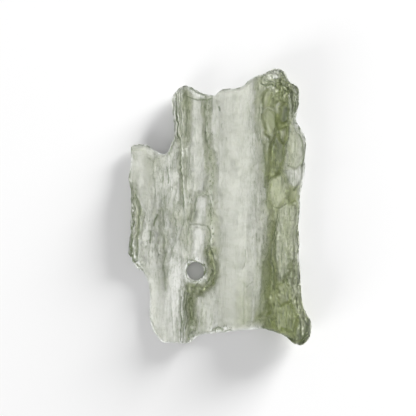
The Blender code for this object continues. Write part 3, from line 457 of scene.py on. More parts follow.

# %% Creases: path, depth, half width, and how dark its painted shade is from 0 to 1
CREASES = {
    "foot of the block": (
        [(-6.15, 11.15), (-5.85, 10), (-5.7, 7), (-5.55, 3.2), (-5.4, 0.2)],
        0.17, 0.11, 0.8,
    ),
    "between the block ridges 1": ([(-7.05, 16.4), (-6.75, 13), (-6.6, 9.8)], 0.14, 0.09, 0.7),
    "between the block ridges 2": ([(-6.5, 16.9), (-6.3, 13.3), (-6.15, 10.3)], 0.14, 0.09, 0.8),
    "between the block ridges 3": ([(-5.85, 17.2), (-5.75, 14.2), (-5.55, 10.6)], 0.1, 0.09, 0.5),
    "side of the dark rib": ([(-5.25, 16.9), (-4.95, 16), (-4.8, 14.2), (-4.95, 10.7)], 0.07, 0.26, 0.6),
    "edge of the groove, upper": (
        [(-1.95, 16.6), (-2.1, 14.5), (-1.8, 12.4), (-1.95, 10), (-1.35, 8.5)],
        0.1, 0.22, 0.55,
    ),
    "edge of the groove, middle": (
        [(-1.35, 8.5), (-1.05, 6.4), (-0.9, 4), (-1.05, 1.9), (-0.75, -0.8)],
        0.1, 0.19, 0.5,
    ),
    "slab line 1": ([(-7.8, 6.1), (-7.65, 3.4)], 0.14, 0.09, 0.7),
    "slab line 2": ([(-8.4, 5.5), (-8.7, 1), (-8.25, -3.2)], 0.08, 0.09, 0.35),
    "slab line 3": ([(-10.2, -3.8), (-10.5, -5.6)], 0.14, 0.13, 1.0),
    "slab line 4": ([(-9.3, -1.3), (-9.75, -2.6)], 0.14, 0.13, 1.0),
    "slab line 5": ([(-8.4, -4.4), (-8.1, -6.8), (-8.4, -9.8), (-7.95, -12.5)], 0.1, 0.17, 0.6),
    "slab line 6": ([(-6.6, 2.5), (-6.9, -1.3), (-6.3, -3.8), (-7.5, -8.3)], 0.1, 0.11, 0.5),
    "slab line 7": ([(-9.9, 7), (-9.75, 3.2), (-10.05, -0.5)], 0.07, 0.11, 0.3),
    "slab line 8": ([(-5.4, 0.2), (-5.25, -2.8), (-5.85, -4.4)], 0.1, 0.11, 0.45),
    "back of the chipped edge": (
        [(-12.6, 1.6), (-12, 0.4), (-12.15, -3.5), (-12.45, -8.3)],
        0.21, 0.11, 0.8,
    ),
    "arch of the bubble": (
        [(-3.75, -0.8), (-3.6, 0.65), (-3.15, 1.6), (-2.4, 1.95), (-1.65, 1.6), (-1.2, 0.4),
         (-1.2, -1.4)],
        0.14, 0.11, 0.55,
    ),
    "step in the bubble groove": (
        [(-4.2, -2.9), (-3.3, -2.6), (-2.25, -2.7), (-1.65, -2.9)],
        0.1, 0.09, 0.5,
    ),
    "side of the bubble groove": (
        [(-1.65, -2.9), (-1.35, -4.7), (-1.65, -6.5), (-1.8, -8.3)],
        0.14, 0.11, 0.8,
    ),
    "left of the bubble groove": ([(-4.05, -3.2), (-4.2, -5), (-4.35, -6.8)], 0.07, 0.09, 0.3),
    "rim of the hole": ([(-1.05, -8.3), (-0.75, -9.5), (-1.2, -10.7), (-2.1, -11.3)], 0.1, 0.09, 0.8),
    "chip of the hole, right": ([(-2.45, -8.8), (-2, -9.45), (-2.15, -10.3)], 0.12, 0.1, 1.0),
    "chip of the hole, outer right": ([(-1.05, -9.65), (-1.35, -10.55), (-1.8, -11.2)], 0.12, 0.1, 1.0),
    "chip of the hole, lower left": (
        [(-5.05, -9.8), (-4.75, -10.65), (-4.1, -11.2), (-3.65, -11.4)],
        0.08, 0.07, 0.6,
    ),
    "chip of the hole, upper left": ([(-5.2, -8.8), (-4.75, -8.15), (-4.1, -8.05)], 0.08, 0.07, 0.5),
    "chip of the hole, top": ([(-4.3, -8.15), (-3.75, -8.25), (-3.3, -8.7)], 0.1, 0.1, 0.9),
    "chips beside the groove": ([(-1.35, -5.9), (-0.9, -7.1), (-0.6, -8.3)], 0.12, 0.09, 0.9),
    "zigzag of the chipped edge": (
        [(-12.9, 0.5), (-12.65, -0.2), (-13.05, -1.4), (-12.9, -2.6), (-13.2, -3.8), (-13, -5),
         (-13.3, -6.2), (-13.05, -7.4), (-12.9, -8.3)],
        0.14, 0.11, 0.9,
    ),
    "toe line 1": ([(-5.7, -13.7), (-5.75, -17), (-5.85, -20.3)], 0.17, 0.09, 0.8),
    "toe line 2": ([(-5.25, -13.1), (-5.25, -17), (-5.4, -20.45)], 0.17, 0.09, 0.8),
    "toe line 3": ([(-4.8, -12.4), (-4.9, -15.5), (-4.95, -18.5)], 0.17, 0.09, 0.9),
    "foot of the lens": ([(8.1, -0.2), (9.15, -0.15), (10.35, 0.45)], 0.11, 0.09, 0.7),
    "left of the lens": ([(7.5, 4.6), (7.2, 3.05), (7.35, 1.4), (7.95, -0.4)], 0.06, 0.11, 0.35),
    "left of the flake": (
        [(10.4, 12.1), (10.35, 8.5), (10.2, 5.75), (10.5, 4.25), (11.1, 2.9)],
        0.06, 0.09, 0.35,
    ),
    "rim of the flake": ([(12, 10.7), (12.65, 9.2), (12.75, 7.6), (12.6, 6.2)], 0.1, 0.15, 0.7),
    "left of the right face": ([(9, -0.4), (8.7, -3.5), (8.4, -6.5), (8.85, -9.2)], 0.1, 0.11, 0.5),
    "across the right face": ([(8.85, -10.4), (10.05, -12.1), (11.1, -13.6)], 0.08, 0.09, 0.45),
    "foot of the crest, upper": ([(6.15, 17.2), (6.45, 14.5), (6.15, 11.5), (6.6, 8.5)], 0.08, 0.15, 0.35),
    "foot of the crest, middle": ([(6.6, 8.5), (7.05, 5.5), (6.9, 2.8), (7.35, -0.5)], 0.1, 0.15, 0.5),
    "foot of the crest, lower": ([(6.75, -8.3), (6.45, -11), (6.15, -14), (6.3, -17.3)], 0.1, 0.15, 0.5),
    "ledge of the wedge": ([(7.95, 11.3), (8.55, 11.7), (9.3, 11.9), (10.35, 12.5)], 0.06, 0.09, 0.3),
    "crest line 1": ([(8.55, 16), (8.4, 13.6), (8.85, 11.8), (9.15, 9.1)], 0.07, 0.14, 0.5),
    "crest line 2": ([(7.05, 11.8), (7.65, 10), (7.95, 7)], 0.08, 0.12, 0.5),
    "crest line 3": ([(8.7, -1.1), (8.25, -3.8), (8.4, -6.2)], 0.14, 0.09, 0.9),
    "crest line 4": ([(7.95, -4.4), (7.8, -8.3), (8.25, -11.8)], 0.08, 0.14, 0.6),
    "break under the peak": ([(6.45, 18.4), (7.05, 18.1), (7.95, 18.2)], 0.21, 0.11, 1.0),
    "peak line 1": ([(7.05, 18.95), (8.25, 18.5), (9.3, 18.4), (10.2, 17.45)], 0.14, 0.12, 0.9),
    "peak outline": ([(9.15, 20.6), (9.9, 19.9), (10.35, 18.7), (11.4, 18.2)], 0.14, 0.15, 0.9),
    "rim line 1": ([(10.8, 17.8), (10.95, 16), (10.8, 13.9)], 0.14, 0.09, 0.7),
    "rim line 2": ([(11.3, 17.8), (11.4, 16), (11.25, 14.2)], 0.14, 0.09, 0.9),
    "rim line 3": ([(11.85, 17.2), (11.85, 15.7), (11.7, 14.5)], 0.14, 0.11, 0.9),
    "low rib line 1": ([(3.9, -6.5), (3.9, -8.3), (3.75, -9.5)], 0.08, 0.09, 0.5),
    "low rib line 2": ([(3.75, -11.8), (3.6, -14.8), (3.75, -17.6)], 0.08, 0.15, 0.45),
    "low rib line 3": ([(4.05, -12.2), (5.1, -11.5)], 0.08, 0.09, 0.5),
    "knob line 1": ([(11.85, -16.3), (12.15, -18.2), (12.15, -20.3)], 0.14, 0.11, 0.9),
    "knob line 2": ([(12.6, -16.7), (12.9, -18.5), (12.6, -20.2)], 0.14, 0.11, 0.9),
    "bottom nick 1": ([(-1.05, -18.7), (-0.15, -18.2), (0.6, -18.7)], 0.21, 0.15, 0.8),
    "bottom nick 2": ([(1.05, -18.95), (1.8, -18.7)], 0.14, 0.11, 0.7),
    "bottom of the crest": ([(6.45, -18.1), (7.95, -18.7), (9.75, -19.4), (11.25, -20.45)], 0.1, 0.15, 0.8),
    "facet line 1": ([(6.75, 16.9), (6.6, 15.4), (6.3, 14)], 0.08, 0.1, 0.5),
    "facet line 2": ([(8, 16.4), (8.15, 14.9)], 0.08, 0.14, 0.6),
    "facet line 3": ([(8.4, 13.6), (8.7, 11.9), (8.55, 11.3)], 0.08, 0.16, 0.6),
    "facet line 4": ([(5.85, 14), (5.85, 12.4), (6.3, 10.4)], 0.07, 0.1, 0.45),
    "facet line 5": ([(7.05, 10.6), (7.8, 11), (8.7, 11.3)], 0.07, 0.1, 0.4),
    "crack under the peak 1": ([(9.8, 17.45), (10.1, 17.25)], 0.15, 0.16, 1.0),
    "crack under the peak 2": ([(9.5, 16.9), (9.6, 16.4)], 0.12, 0.1, 0.9),
    "left of the rim": ([(10.5, 17.2), (10.6, 14.8), (10.4, 13)], 0.08, 0.1, 0.6),
    "side of the crest face": ([(9.6, 8.8), (9.3, 7.3), (9, 5.5)], 0.08, 0.1, 0.5),
    "mark 1": ([(-0.1, 15.15), (0.1, 14.7)], 0.1, 0.1, 0.9),
    "mark 2": ([(0.45, 12.5), (0.45, 11.9)], 0.06, 0.08, 0.6),
    "mark 3": ([(1.05, 10.5), (1.1, 10.1)], 0.06, 0.08, 0.5),
    "under the top fracture": ([(-4.95, 16.3), (-3.45, 16.15), (-1.95, 16.3), (-0.9, 16.4)], 0.1, 0.1, 0.9),
    "outline of the top fracture": ([(-4.35, 17.8), (-3, 17.25), (-1.8, 16.7)], 0.1, 0.1, 0.7),
    "foot of the block's side": ([(-6.45, 10.6), (-6.9, 9.65), (-7.5, 8)], 0.1, 0.14, 0.7),
    "toe line 4": ([(-4.35, -14), (-4.25, -16.7), (-4.35, -20)], 0.12, 0.1, 0.7),
    "toe line 5": ([(-3.9, -12.8), (-4, -14.9), (-3.75, -17.3)], 0.12, 0.1, 0.6),
    "toe face line": ([(9.15, -14.6), (9.3, -15.8), (9, -17.3)], 0.05, 0.09, 0.3),
}
print(len(CREASES), "creases")

# %% [markdown]
# ## Where the skin differs
#
# Some places are broken rough, and some are frosted white by the etching; a few thin ledges get a
# painted highlight the same way. Others stayed calm, with hardly any streaks, or are painted darker,
# one of them as a painted shadow. All are kept apart from the shape, as a path and a reach in
# millimetres, and become attributes of the mesh. The relief and the glass both read them, so a rough
# place is rough in shape and in shine alike. Painting them by hand would be quicker, but then nobody
# could read where they are or change one of them by a number.

# %% Rough places: path, reach and strength
ROUGH_PLACES = {
    "chipped left edge": ([(-13.3, 3.0), (-13.4, -2.0), (-13.5, -7.0), (-12.0, -9.5)], 0.9, 1.0),
    "peak": ([(7.0, 19.6), (8.6, 19.9), (9.8, 18.4), (10.2, 17.0)], 1.2, 0.85),
    "rim under the peak": ([(11.2, 17.8), (11.5, 14.0)], 0.6, 0.6),
    "knob": ([(11.8, -16.6), (12.8, -18.0), (12.4, -19.8)], 1.2, 0.6),
    "rim of the hole": ([(-4.9, -8.9), (-3.6, -8.2), (-2.2, -8.9), (-1.9, -10.3), (-3.2, -11.3)], 0.5, 1.0),
    "foot of the block": ([(-4.3, -12.5), (-4.0, -20.0)], 0.6, 1.0),
    "bottom": ([(-1.5, -18.8), (1.5, -18.5)], 0.5, 1.0),
    "crest under the peak": ([(8.0, 17.7), (9.6, 17.2)], 1.0, 0.7),
    "crest": ([(8.4, 10.5), (8.6, 5.5)], 1.2, 0.5),
    "crest, lower": ([(8.2, -2.0), (7.6, -9.0), (7.4, -18.0)], 1.3, 0.5),
    "crescent": ([(-1.5, -6.0), (-1.2, -8.2), (-1.1, -9.8), (-1.2, -11.2), (-2.4, -12.4)], 0.8, 1.0),
    "middle rib": ([(-1.9, 16.5), (-1.6, 10.0), (-1.1, 7.0), (-1.3, 1.0), (-1.1, -5.0)], 0.45, 0.8),
    "block": ([(-6.3, 16.0), (-5.9, 10.5)], 0.9, 0.4),
    "step of the block": ([(-5.6, 9.5), (-5.5, 0.5)], 0.35, 0.6),
    "toe": ([(11.0, -8.0), (11.5, -15.0)], 1.2, 0.5),
}
print(len(ROUGH_PLACES), "rough places")

# %% Frosted places and two painted highlights on thin ledges, in the same terms
FROSTED_AND_HIGHLIT_PLACES = {
    "peak facet": ([(7.8, 19.6), (8.9, 19.9)], 0.6, 0.34),
    "upper bubble groove": ([(-2.65, 0.9), (-2.75, -2.6)], 0.8, 0.16),
    "lower bubble groove": ([(-3.0, -3.4), (-3.3, -8.0)], 1.3, 0.18),
    "grey facet": ([(8.9, 15.1), (8.8, 14.2)], 0.5, 0.26),
    "light triangle": ([(9.5, 11.2), (9.4, 10.2)], 0.4, 0.22),
    "rim of the hole": (
        [(-5.2, -9.8), (-4.7, -8.6), (-3.6, -8.1), (-2.4, -8.6), (-1.9, -9.8), (-2.4, -11.0), (-3.6, -11.5),
         (-4.7, -11.0), (-5.2, -9.8)],
        0.30, 0.55,
    ),
    "chip of the left edge 1": ([(-13.13, 0.08), (-12.90, -0.68)], 0.15, 0.7),
    "chip of the left edge 2": ([(-12.85, -2.33), (-12.98, -3.53)], 0.15, 0.7),
    "chip of the left edge 3": ([(-12.90, -5.03), (-13.20, -5.93)], 0.15, 0.7),
    "fleck beside the groove": ([(-0.52, -7.35), (-0.45, -7.95)], 0.15, 0.6),
    "fleck beside the hole": ([(-1.35, -10.40), (-0.90, -9.95)], 0.15, 0.6),
    "bottom lip": ([(-0.5, -19.0), (2.5, -18.7), (6.3, -18.2)], 0.35, 0.5),
    "slab foot": ([(-6.5, -7.5), (-6.4, -10.0), (-6.6, -16.0)], 1.2, 0.2),
    "top fracture": ([(-4.2, 17.7), (-2.2, 16.8)], 0.4, 0.5),
    "knob": ([(12.2, -17.6), (12.5, -19.0)], 0.2, 0.4),
    "lens": ([(8.6, 3.5), (9.0, 1.2)], 1.0, 0.08),
    "flake": ([(12.0, 9.5), (11.8, 4.0)], 1.2, 0.10),
    # the next two are painted highlights on thin ledges, made as frost
    "ledge of the wedge": ([(8.6, 11.7), (9.4, 12.0), (10.35, 12.5)], 0.12, 0.25),
    "left of the lens": ([(7.05, 4.3), (7.05, 0.8)], 0.09, 0.5),
    "block ridge 1": (FINE_RIBS["block ridge 1"][0], 0.08, 0.9),
    "block ridge 2": (FINE_RIBS["block ridge 2"][0], 0.08, 0.7),
    "block ridge 3": (FINE_RIBS["block ridge 3"][0], 0.08, 0.7),
    "toe ridge 1": ([(-5.50, -12.8), (-5.55, -20.4)], 0.08, 0.9),
    "toe ridge 2": ([(-5.08, -12.6), (-5.10, -20.0)], 0.08, 0.9),
}
print(len(FROSTED_AND_HIGHLIT_PLACES), "frosted places")

# %% Calm places, where the etching left hardly any streaks
CALM_PLACES = {
    "main furrow": ([(2.2, 21.0), (2.2, -21.0)], 3.0, 0.85),
    "left of the groove": ([(-3.3, 16.5), (-3.2, 3.0)], 0.8, 0.6),
    "bubble groove": ([(-2.7, 0.6), (-3.1, -8.0)], 0.7, 0.6),
    "top of the slab": ([(-11.4, 8.5), (-11.4, 1.0)], 1.7, 0.85),
    "lower slab": ([(-9.0, -12.0), (-8.2, -20.0)], 1.8, 0.6),
    "facets of the crest": ([(7.2, 16.0), (8.6, 14.5), (8.0, 11.5)], 1.5, 0.8),
    "lens": ([(8.6, 3.6), (8.8, 1.2)], 1.3, 0.25),
    "flake": ([(12.0, 10.0), (12.0, 3.0)], 1.0, 0.4),
    "right face": ([(10.2, 0.0), (10.4, -7.0)], 1.0, 0.2),
}
print(len(CALM_PLACES), "calm places")

# %% Places painted darker, one of them as a painted shadow
DARKENED_PLACES = {
    "dark wedge": ([(10.0, 14.4), (9.8, 12.8)], 0.55, 0.95),
    # a painted shadow on the foot of the peak facet
    "shadow at the foot of the peak facet": ([(8.4, 19.2), (9.4, 19.0), (9.9, 18.6)], 0.18, 0.65),
    "crest face": ([(8.7, 9.2), (8.7, 5.6)], 0.9, 0.35),
    "foot of the crest": ([(6.9, -15.5), (7.2, -18.4)], 0.9, 0.25),
    "foot of the block": ([(-4.15, -12.8), (-4.1, -19.4)], 0.45, 0.5),
    "crescent": ([(-0.9, -8.3), (-0.6, -9.4), (-0.9, -11.4)], 0.4, 0.3),
    "wedge of the left edge": ([(-13.2, 2.6), (-12.9, 1.0)], 0.4, 0.5),
    "right toe": ([(10.6, -17.5), (12.4, -19.8)], 0.8, 0.35),
    "rim of the knob": ([(13.1, -17.2), (13.2, -19.0), (12.4, -20.2)], 0.50, 0.8),
}
print(len(DARKENED_PLACES), "darkened places")

# %% [markdown]
# ## Heights of the two faces
#
# Everything above comes together in two functions, one for the thickness and one for the back. Near
# an edge the two faces curve towards each other and leave a narrow wall, as on real broken glass.

# %% Distances and blends


def distance_to_path(path, x, y):
    """Distance of each point from a line of straight pieces."""
    nearest = np.full(len(x), np.inf)
    for (ax, ay), (bx, by) in zip(path[:-1], path[1:]):
        length = max((bx - ax) ** 2 + (by - ay) ** 2, 1e-9)
        t = np.clip(((x - ax) * (bx - ax) + (y - ay) * (by - ay)) / length, 0, 1)
        nearest = np.minimum(nearest, np.hypot(x - ax - t * (bx - ax), y - ay - t * (by - ay)))
    return nearest


def fading(path, reach, x, y):
    """1 on a path, fading to 0 over the given reach to both sides of it."""
    return np.exp(-((distance_to_path(path, x, y) / reach) ** 2))


def inside(loop, x, y):
    """Whether each point lies inside a closed loop."""
    found = np.zeros(len(x), bool)
    for (ax, ay), (bx, by) in zip(loop, np.roll(loop, -1, axis=0)):
        crosses = (ay > y) != (by > y)
        if ay != by:
            found ^= crosses & (x < (bx - ax) * (y - ay) / (by - ay) + ax)
    return found


def lower_of(a, b, blend):
    """The lower of two surfaces, with the edge where they cross rounded over the blend height."""
    share = np.clip(0.5 + 0.5 * (b - a) / blend, 0, 1)
    return b + (a - b) * share - blend * share * (1 - share)


probe = distance_to_path([(0, 0), (0, 10)], np.array([3.0]), np.array([5.0]))
print("a point 3 mm beside a path is", probe[0], "mm from it")

# %% [markdown]
# Nothing on a stone runs ruler-straight. Slow waves make both faces uneven, and the same kind of
# noise pushes every feature a little aside, so that its number stays simple and its line does not.

# %% Slow waves and straying features
WAVE_LENGTH = 5.0  # of the slow unevenness in both faces
WAVE_HEIGHT = 0.12
WARPS = ((1.8, 0.28), (0.5, 0.12))  # wavelength and reach by which every feature strays
OTHER_NOISE = Vector((0, 0, 7.7))  # how far off the noise is taken that moves them along the stone
FRONT_SEED, MIDDLE_SEED, BACK_SEED = 3.3, 5.1, 8.6  # the front, the wall and the back get waves of their own


def waves(x, y, seed):
    """Slow unevenness, between about -1 and 1."""
    places = np.stack([x, y, np.full_like(x, seed * WAVE_LENGTH)], axis=1) / WAVE_LENGTH
    return np.array([noise.noise(Vector(place)) for place in places])


def warped(x, y):
    """The same places strayed a little, so that no rib or crease runs ruler-straight."""
    for size, reach in WARPS:
        places = [Vector((a / size, b / size, size)) for a, b in zip(x, y)]
        x = x + reach * np.array([noise.noise(place) for place in places])
        y = y + reach * np.array([noise.noise(place + OTHER_NOISE) for place in places])
    return x, y


print("features stray by up to", sum(reach for _, reach in WARPS), "mm")

# %% Thickness of the stone and height of its back
SCOOP_BLEND = 0.15  # how far the sharp edge of a scoop is worn round, in millimetres
LEAST_THICKNESS = 0.6


def share_inside(corners, x, y, edge):
    """1 well inside a polygon and 0 outside it, changing over the given width along its sides."""
    away = distance_to_path(corners + corners[:1], x, y)
    away = np.where(inside(np.array(corners), x, y), -away, away)
    t = np.clip(0.5 - away / edge, 0, 1)
    return t * t * (3 - 2 * t)


def thickness(x, y):
    """Thickness of the stone at each point, with every feature of its front."""
    left = WAVE_HEIGHT * waves(x, y, FRONT_SEED)
    x, y = warped(x, y)
    left += flow_height(FLOW, x, y)
    for path, tall, half_width in [*WELTS.values(), *FINE_RIBS.values()]:
        left += tall * fading(path, half_width, x, y)
    for corners, middle, rise_x, rise_y, edge in FACETS.values():
        middle_x, middle_y = np.mean(corners, axis=0)
        plane = middle + rise_x * (x - middle_x) + rise_y * (y - middle_y)
        left += (plane - left) * share_inside(corners, x, y, edge)
    for path, bed, rise, reach, power in [*SCOOPS.values(), *FRACTURES.values()]:
        left = lower_of(left, bed + rise * (distance_to_path(path, x, y) / reach) ** power, SCOOP_BLEND)
    for path, depth, half_width, _ in CREASES.values():
        left -= depth * fading(path, half_width, x, y)
    return np.maximum(left, LEAST_THICKNESS)


def back_height(x, y):
    """Height of the back above the table, which has worn its ribs flat."""
    return np.maximum(flow_height(BACK_FLOW, x, y) + WAVE_HEIGHT * waves(x, y, BACK_SEED), 0.0)


print("thickness over the lens:", thickness(np.array([8.7]), np.array([2.5])).round(2), "mm")

# %% [markdown]
# ## From heights to a mesh
#
# The faces are filled with points on a lattice of equal triangles, finer in front than at the back,
# and a few rows of points follow each edge closely so that it looks crisp. A constrained Delaunay
# triangulation joins them. A plain grid cut by a Boolean would leave stepped, sliver-edged borders.

# %% Edge curves
OUTLINE_STEP = 0.15
HOLE_STEP = 0.7 * OUTLINE_STEP
BETWEEN = 12  # steps in which the smooth curve is first worked out between two given points


def closed_curve(points, step):
    """Points a step apart along a smooth closed curve through the given ones."""
    points = np.array(points)
    before, after = np.roll(points, 1, axis=0), np.roll(points, -1, axis=0)
    beyond = np.roll(points, -2, axis=0)
    t = np.linspace(0, 1, BETWEEN, endpoint=False)[:, None, None]
    fine = 0.5 * (
        2 * points
        + (after - before) * t
        + (2 * before - 5 * points + 4 * after - beyond) * t**2
        + (3 * points - before - 3 * after + beyond) * t**3
    )
    fine = fine.transpose(1, 0, 2).reshape(-1, 2)
    loop = np.vstack([fine, fine[:1]])
    along = np.concatenate([[0], np.cumsum(np.linalg.norm(np.diff(loop, axis=0), axis=1))])
    at = np.linspace(0, along[-1], round(along[-1] / step), endpoint=False)
    return np.stack([np.interp(at, along, loop[:, i]) for i in (0, 1)], axis=1)


def circle(centre, radius, step):
    """Points about a step apart round a circle, anticlockwise."""
    angle = np.linspace(0, 2 * np.pi, round(2 * np.pi * radius / step), endpoint=False)
    return np.array(centre) + radius * np.stack([np.cos(angle), np.sin(angle)], axis=1)


outline = closed_curve([p for part in OUTLINE.values() for p in part], OUTLINE_STEP)
hole = circle(HOLE_CENTRE, HOLE_RADIUS, HOLE_STEP)
hole = HOLE_CENTRE + (hole - HOLE_CENTRE) * HOLE_STRETCH
hole = hole + HOLE_WANDER * (np.stack(warped(*hole.T), axis=1) - hole)
print(len(outline), "points round the stone and", len(hole), "round the hole")

# %% Distance from the edges
DENSER = 8  # places that the search tree holds for each point of an edge


def edge_finder(loops):
    """A search tree over closely spaced points of the edges."""
    dense = []
    for loop in loops:
        nearby = np.roll(loop, -1, axis=0)
        for t in np.linspace(0, 1, DENSER, endpoint=False):
            dense.append(loop + t * (nearby - loop))
    dense = np.vstack(dense)
    tree = KDTree(len(dense))
    for index, (px, py) in enumerate(dense):
        tree.insert((px, py, 0.0), index)
    tree.balance()
    return tree


def edge_distance(tree, x, y):
    """Distance of each point from the nearest edge in the tree."""
    return np.array([tree.find((px, py, 0.0))[2] for px, py in zip(x, y)])


tree = edge_finder([outline, hole])
middle = edge_distance(tree, np.array([0.0]), np.array([0.0])).round(2)
print("the middle of the stone is", middle, "mm from the nearest edge")

# %% [markdown]
# Near an edge the front and the back curve towards each other. How far in that begins depends on
# the thickness, because a thick edge wears rounder than a thin one.

# %% Heights with rounded edges
RIM_WIDTH = 0.30  # how far in from an edge its rounding reaches, at the least
RIM_SPREAD = 0.12  # and how much further for each millimetre that the stone is thick
RIM_SHARE = 0.42  # share of the stone's thickness left standing as a wall at an edge
RIM_HEIGHT = 0.45  # where between back and front the middle of that wall lies
RIM_WANDER = 0.20  # and how far that goes up and down along the edge


def surface(x, y, tree, side):
    """Height of the front or the back, rounded to meet the other at the edges."""
    back, whole = back_height(x, y), thickness(x, y)
    reach = np.clip(edge_distance(tree, x, y) / (RIM_WIDTH + RIM_SPREAD * whole), 0, 1)
    share = RIM_SHARE + (1 - RIM_SHARE) * np.sqrt(1 - (1 - reach) ** 2)
    middle = back + (RIM_HEIGHT + RIM_WANDER * waves(x, y, MIDDLE_SEED)) * whole
    face = back + whole if side == "front" else back
    return middle + (face - middle) * share


print("front beside the hole:", surface(np.array([-3.5]), np.array([-7.5]), tree, "front").round(2), "mm up")

# %% Points on a lattice and along the edges
EDGE_ROWS = (0.04, 0.09, 0.16, 0.25)  # rows of points that follow each edge, this far in from it
ROW_SLACK = 0.9  # a row stops where another edge is nearer than this share of its own distance


def lattice(outline, hole, side):
    """The corners of equal triangles that fill the outline round the hole."""
    low, high = outline.min(axis=0), outline.max(axis=0)
    columns = np.arange(low[0], high[0], side * np.sqrt(3) / 2)
    rows = np.arange(low[1], high[1], side)
    x = np.repeat(columns, len(rows))
    y = (rows[None, :] + np.where(np.arange(len(columns)) % 2, side / 2, 0)[:, None]).ravel()
    keep = inside(outline, x, y) & ~inside(hole, x, y)
    return x[keep], y[keep]


def inner_rows(loop, offsets, tree):
    """Rows of points that follow an edge at the given distances inside the stone."""
    rows = []
    run = np.roll(loop, -1, axis=0) - np.roll(loop, 1, axis=0)
    normal = np.stack([run[:, 1], -run[:, 0]], axis=1)
    normal /= np.linalg.norm(normal, axis=1, keepdims=True)
    for offset in offsets:
        row = loop + offset * normal
        rows.append(row[edge_distance(tree, row[:, 0], row[:, 1]) > ROW_SLACK * offset])
    return rows


print(len(lattice(outline, hole, side=1.0)[0]), "lattice points at a spacing of 1 mm")

# %% [markdown]
# The narrowest creases and ledges are thinner than the lattice is wide, and would come out as rows
# of dents. So each of them gets rows of points along its bottom, its sides and the lip beside it. A
# finer lattice everywhere would do that too, but with four times as many triangles.

# %% Points along narrow features
NARROW = 0.18  # features narrower than this get points of their own
FEATURE_STEP = 0.10  # how far apart these are along it
CLOSEST = 0.04  # and how close together at the least
ROUNDS = 3  # each round comes nearer to the places that stray onto the wanted ones


def points_along(path, half_width):
    """Points on a narrow feature, its sides and its lip, where it lies after straying."""
    path = np.array(path)
    travelled = np.concatenate([[0], np.cumsum(np.hypot(*np.diff(path, axis=0).T))])
    stops = np.linspace(0, travelled[-1], max(3, int(travelled[-1] / FEATURE_STEP)))
    line = np.stack([np.interp(stops, travelled, path[:, axis]) for axis in (0, 1)], axis=1)
    ahead = np.gradient(line, axis=0)
    aside = half_width * ahead[:, ::-1] * (1, -1) / np.linalg.norm(ahead, axis=1, keepdims=True)
    wanted = np.vstack([line + share * aside for share in (-1, 0, 1, 2)])
    points = wanted
    for _ in range(ROUNDS):
        points = wanted - (np.stack(warped(*points.T), axis=1) - points)
    return points


def narrow_points(outline, hole, tree):
    """Points for every crease and ledge that the lattice is too coarse for."""
    paths = [(path, half_width) for path, _, half_width, _ in CREASES.values()]
    paths += [(path, reach) for path, reach, _ in FROSTED_AND_HIGHLIT_PLACES.values()]
    narrow = [points_along(path, width) for path, width in paths if width < NARROW]
    points = np.unique(np.round(np.vstack(narrow) / CLOSEST), axis=0) * CLOSEST
    x, y = points.T
    keep = inside(outline, x, y) & ~inside(hole, x, y)
    return points[keep & (edge_distance(tree, x, y) > EDGE_ROWS[-1] + CLOSEST)]


print(len(narrow_points(outline, hole, tree)), "points for narrow features")

# %% Filling the front and the back
FRONT_SPACING = 0.118
BACK_SPACING = 0.40
EDGE_ROOM = 0.4  # spacings that the lattice keeps free beside the rows of an edge
FEATURE_ROOM = 0.5  # and beside the points of a narrow feature


def edge_loops(outline, hole):
    """The numbers of the vertices round the outline and round the hole, in every face alike."""
    return [list(range(len(outline))), list(range(len(outline), len(outline) + len(hole)))]


def skin(outline, hole, tree, side, spacing):
    """Vertices and triangles of one face. Its first vertices are those of the two edges."""
    rows = inner_rows(outline, EDGE_ROWS, tree) + inner_rows(hole, EDGE_ROWS, tree)
    x, y = lattice(outline, hole, spacing)
    keep = edge_distance(tree, x, y) > EDGE_ROWS[-1] + EDGE_ROOM * spacing
    if side == "front":
        rows.append(narrow_points(outline, hole, tree))
        keep &= edge_distance(edge_finder([rows[-1]]), x, y) > FEATURE_ROOM * spacing
    points = np.vstack([outline, hole, *rows, np.stack([x[keep], y[keep]], axis=1)])
    fixed = [(a, b) for loop in edge_loops(outline, hole) for a, b in zip(loop, loop[1:] + loop[:1])]
    placed, _, triangles, *_ = delaunay_2d_cdt([Vector(p) for p in points], fixed, [], 0, 1e-5)
    placed, triangles = np.array(placed), np.array(triangles)
    x, y = placed[triangles].mean(axis=1).T
    keep = inside(outline, x, y) & ~inside(hole, x, y)
    x, y = placed.T
    return np.column_stack([x, y, surface(x, y, tree, side)]), triangles[keep]


front, front_faces = skin(outline, hole, tree, "front", FRONT_SPACING)
back, back_faces = skin(outline, hole, tree, "back", BACK_SPACING)
print(len(front_faces), "triangles in front,", len(back_faces), "at the back")

# %% [markdown]
# The two faces share their edge points, so the wall between them is rows of quads from one to the
# other. The wall's rows let the relief shape the wall as well.

# %% The wall round the edge and round the hole
WALL_ROWS = 6


def wall(front, back, loops, rows):
    """More vertices and the faces that join the front's edges to the back's."""
    added, faces = [], []
    total = len(front) + len(back)
    for loop in loops:
        ring = loop
        for row in range(1, rows + 1):
            if row < rows:
                added.append(front[loop] + (back[loop] - front[loop]) * row / rows)
                below = list(range(total, total + len(loop)))
                total += len(loop)
            else:
                below = [index + len(front) for index in loop]
            for here in range(len(loop)):
                ahead = (here + 1) % len(loop)
                faces.append((ring[here], ring[ahead], below[ahead], below[here]))
            ring = below
    return np.vstack(added), faces


wall_vertices, wall_faces = wall(front, back, edge_loops(outline, hole), WALL_ROWS)
print(len(wall_faces), "faces in the walls")

# %% One closed mesh
vertices = np.vstack([front, back, wall_vertices])
faces = [tuple(t) for t in front_faces] + [tuple(t[::-1] + len(front)) for t in back_faces] + wall_faces
mesh = bpy.data.meshes.new("moldavite_stone")
mesh.from_pydata((vertices * MM).tolist(), [], faces)
mesh.shade_smooth()
stone = bpy.data.objects.new("moldavite_stone", mesh)
bpy.context.scene.collection.objects.link(stone)
print("stone:", len(mesh.vertices), "vertices,", len(mesh.polygons), "faces")
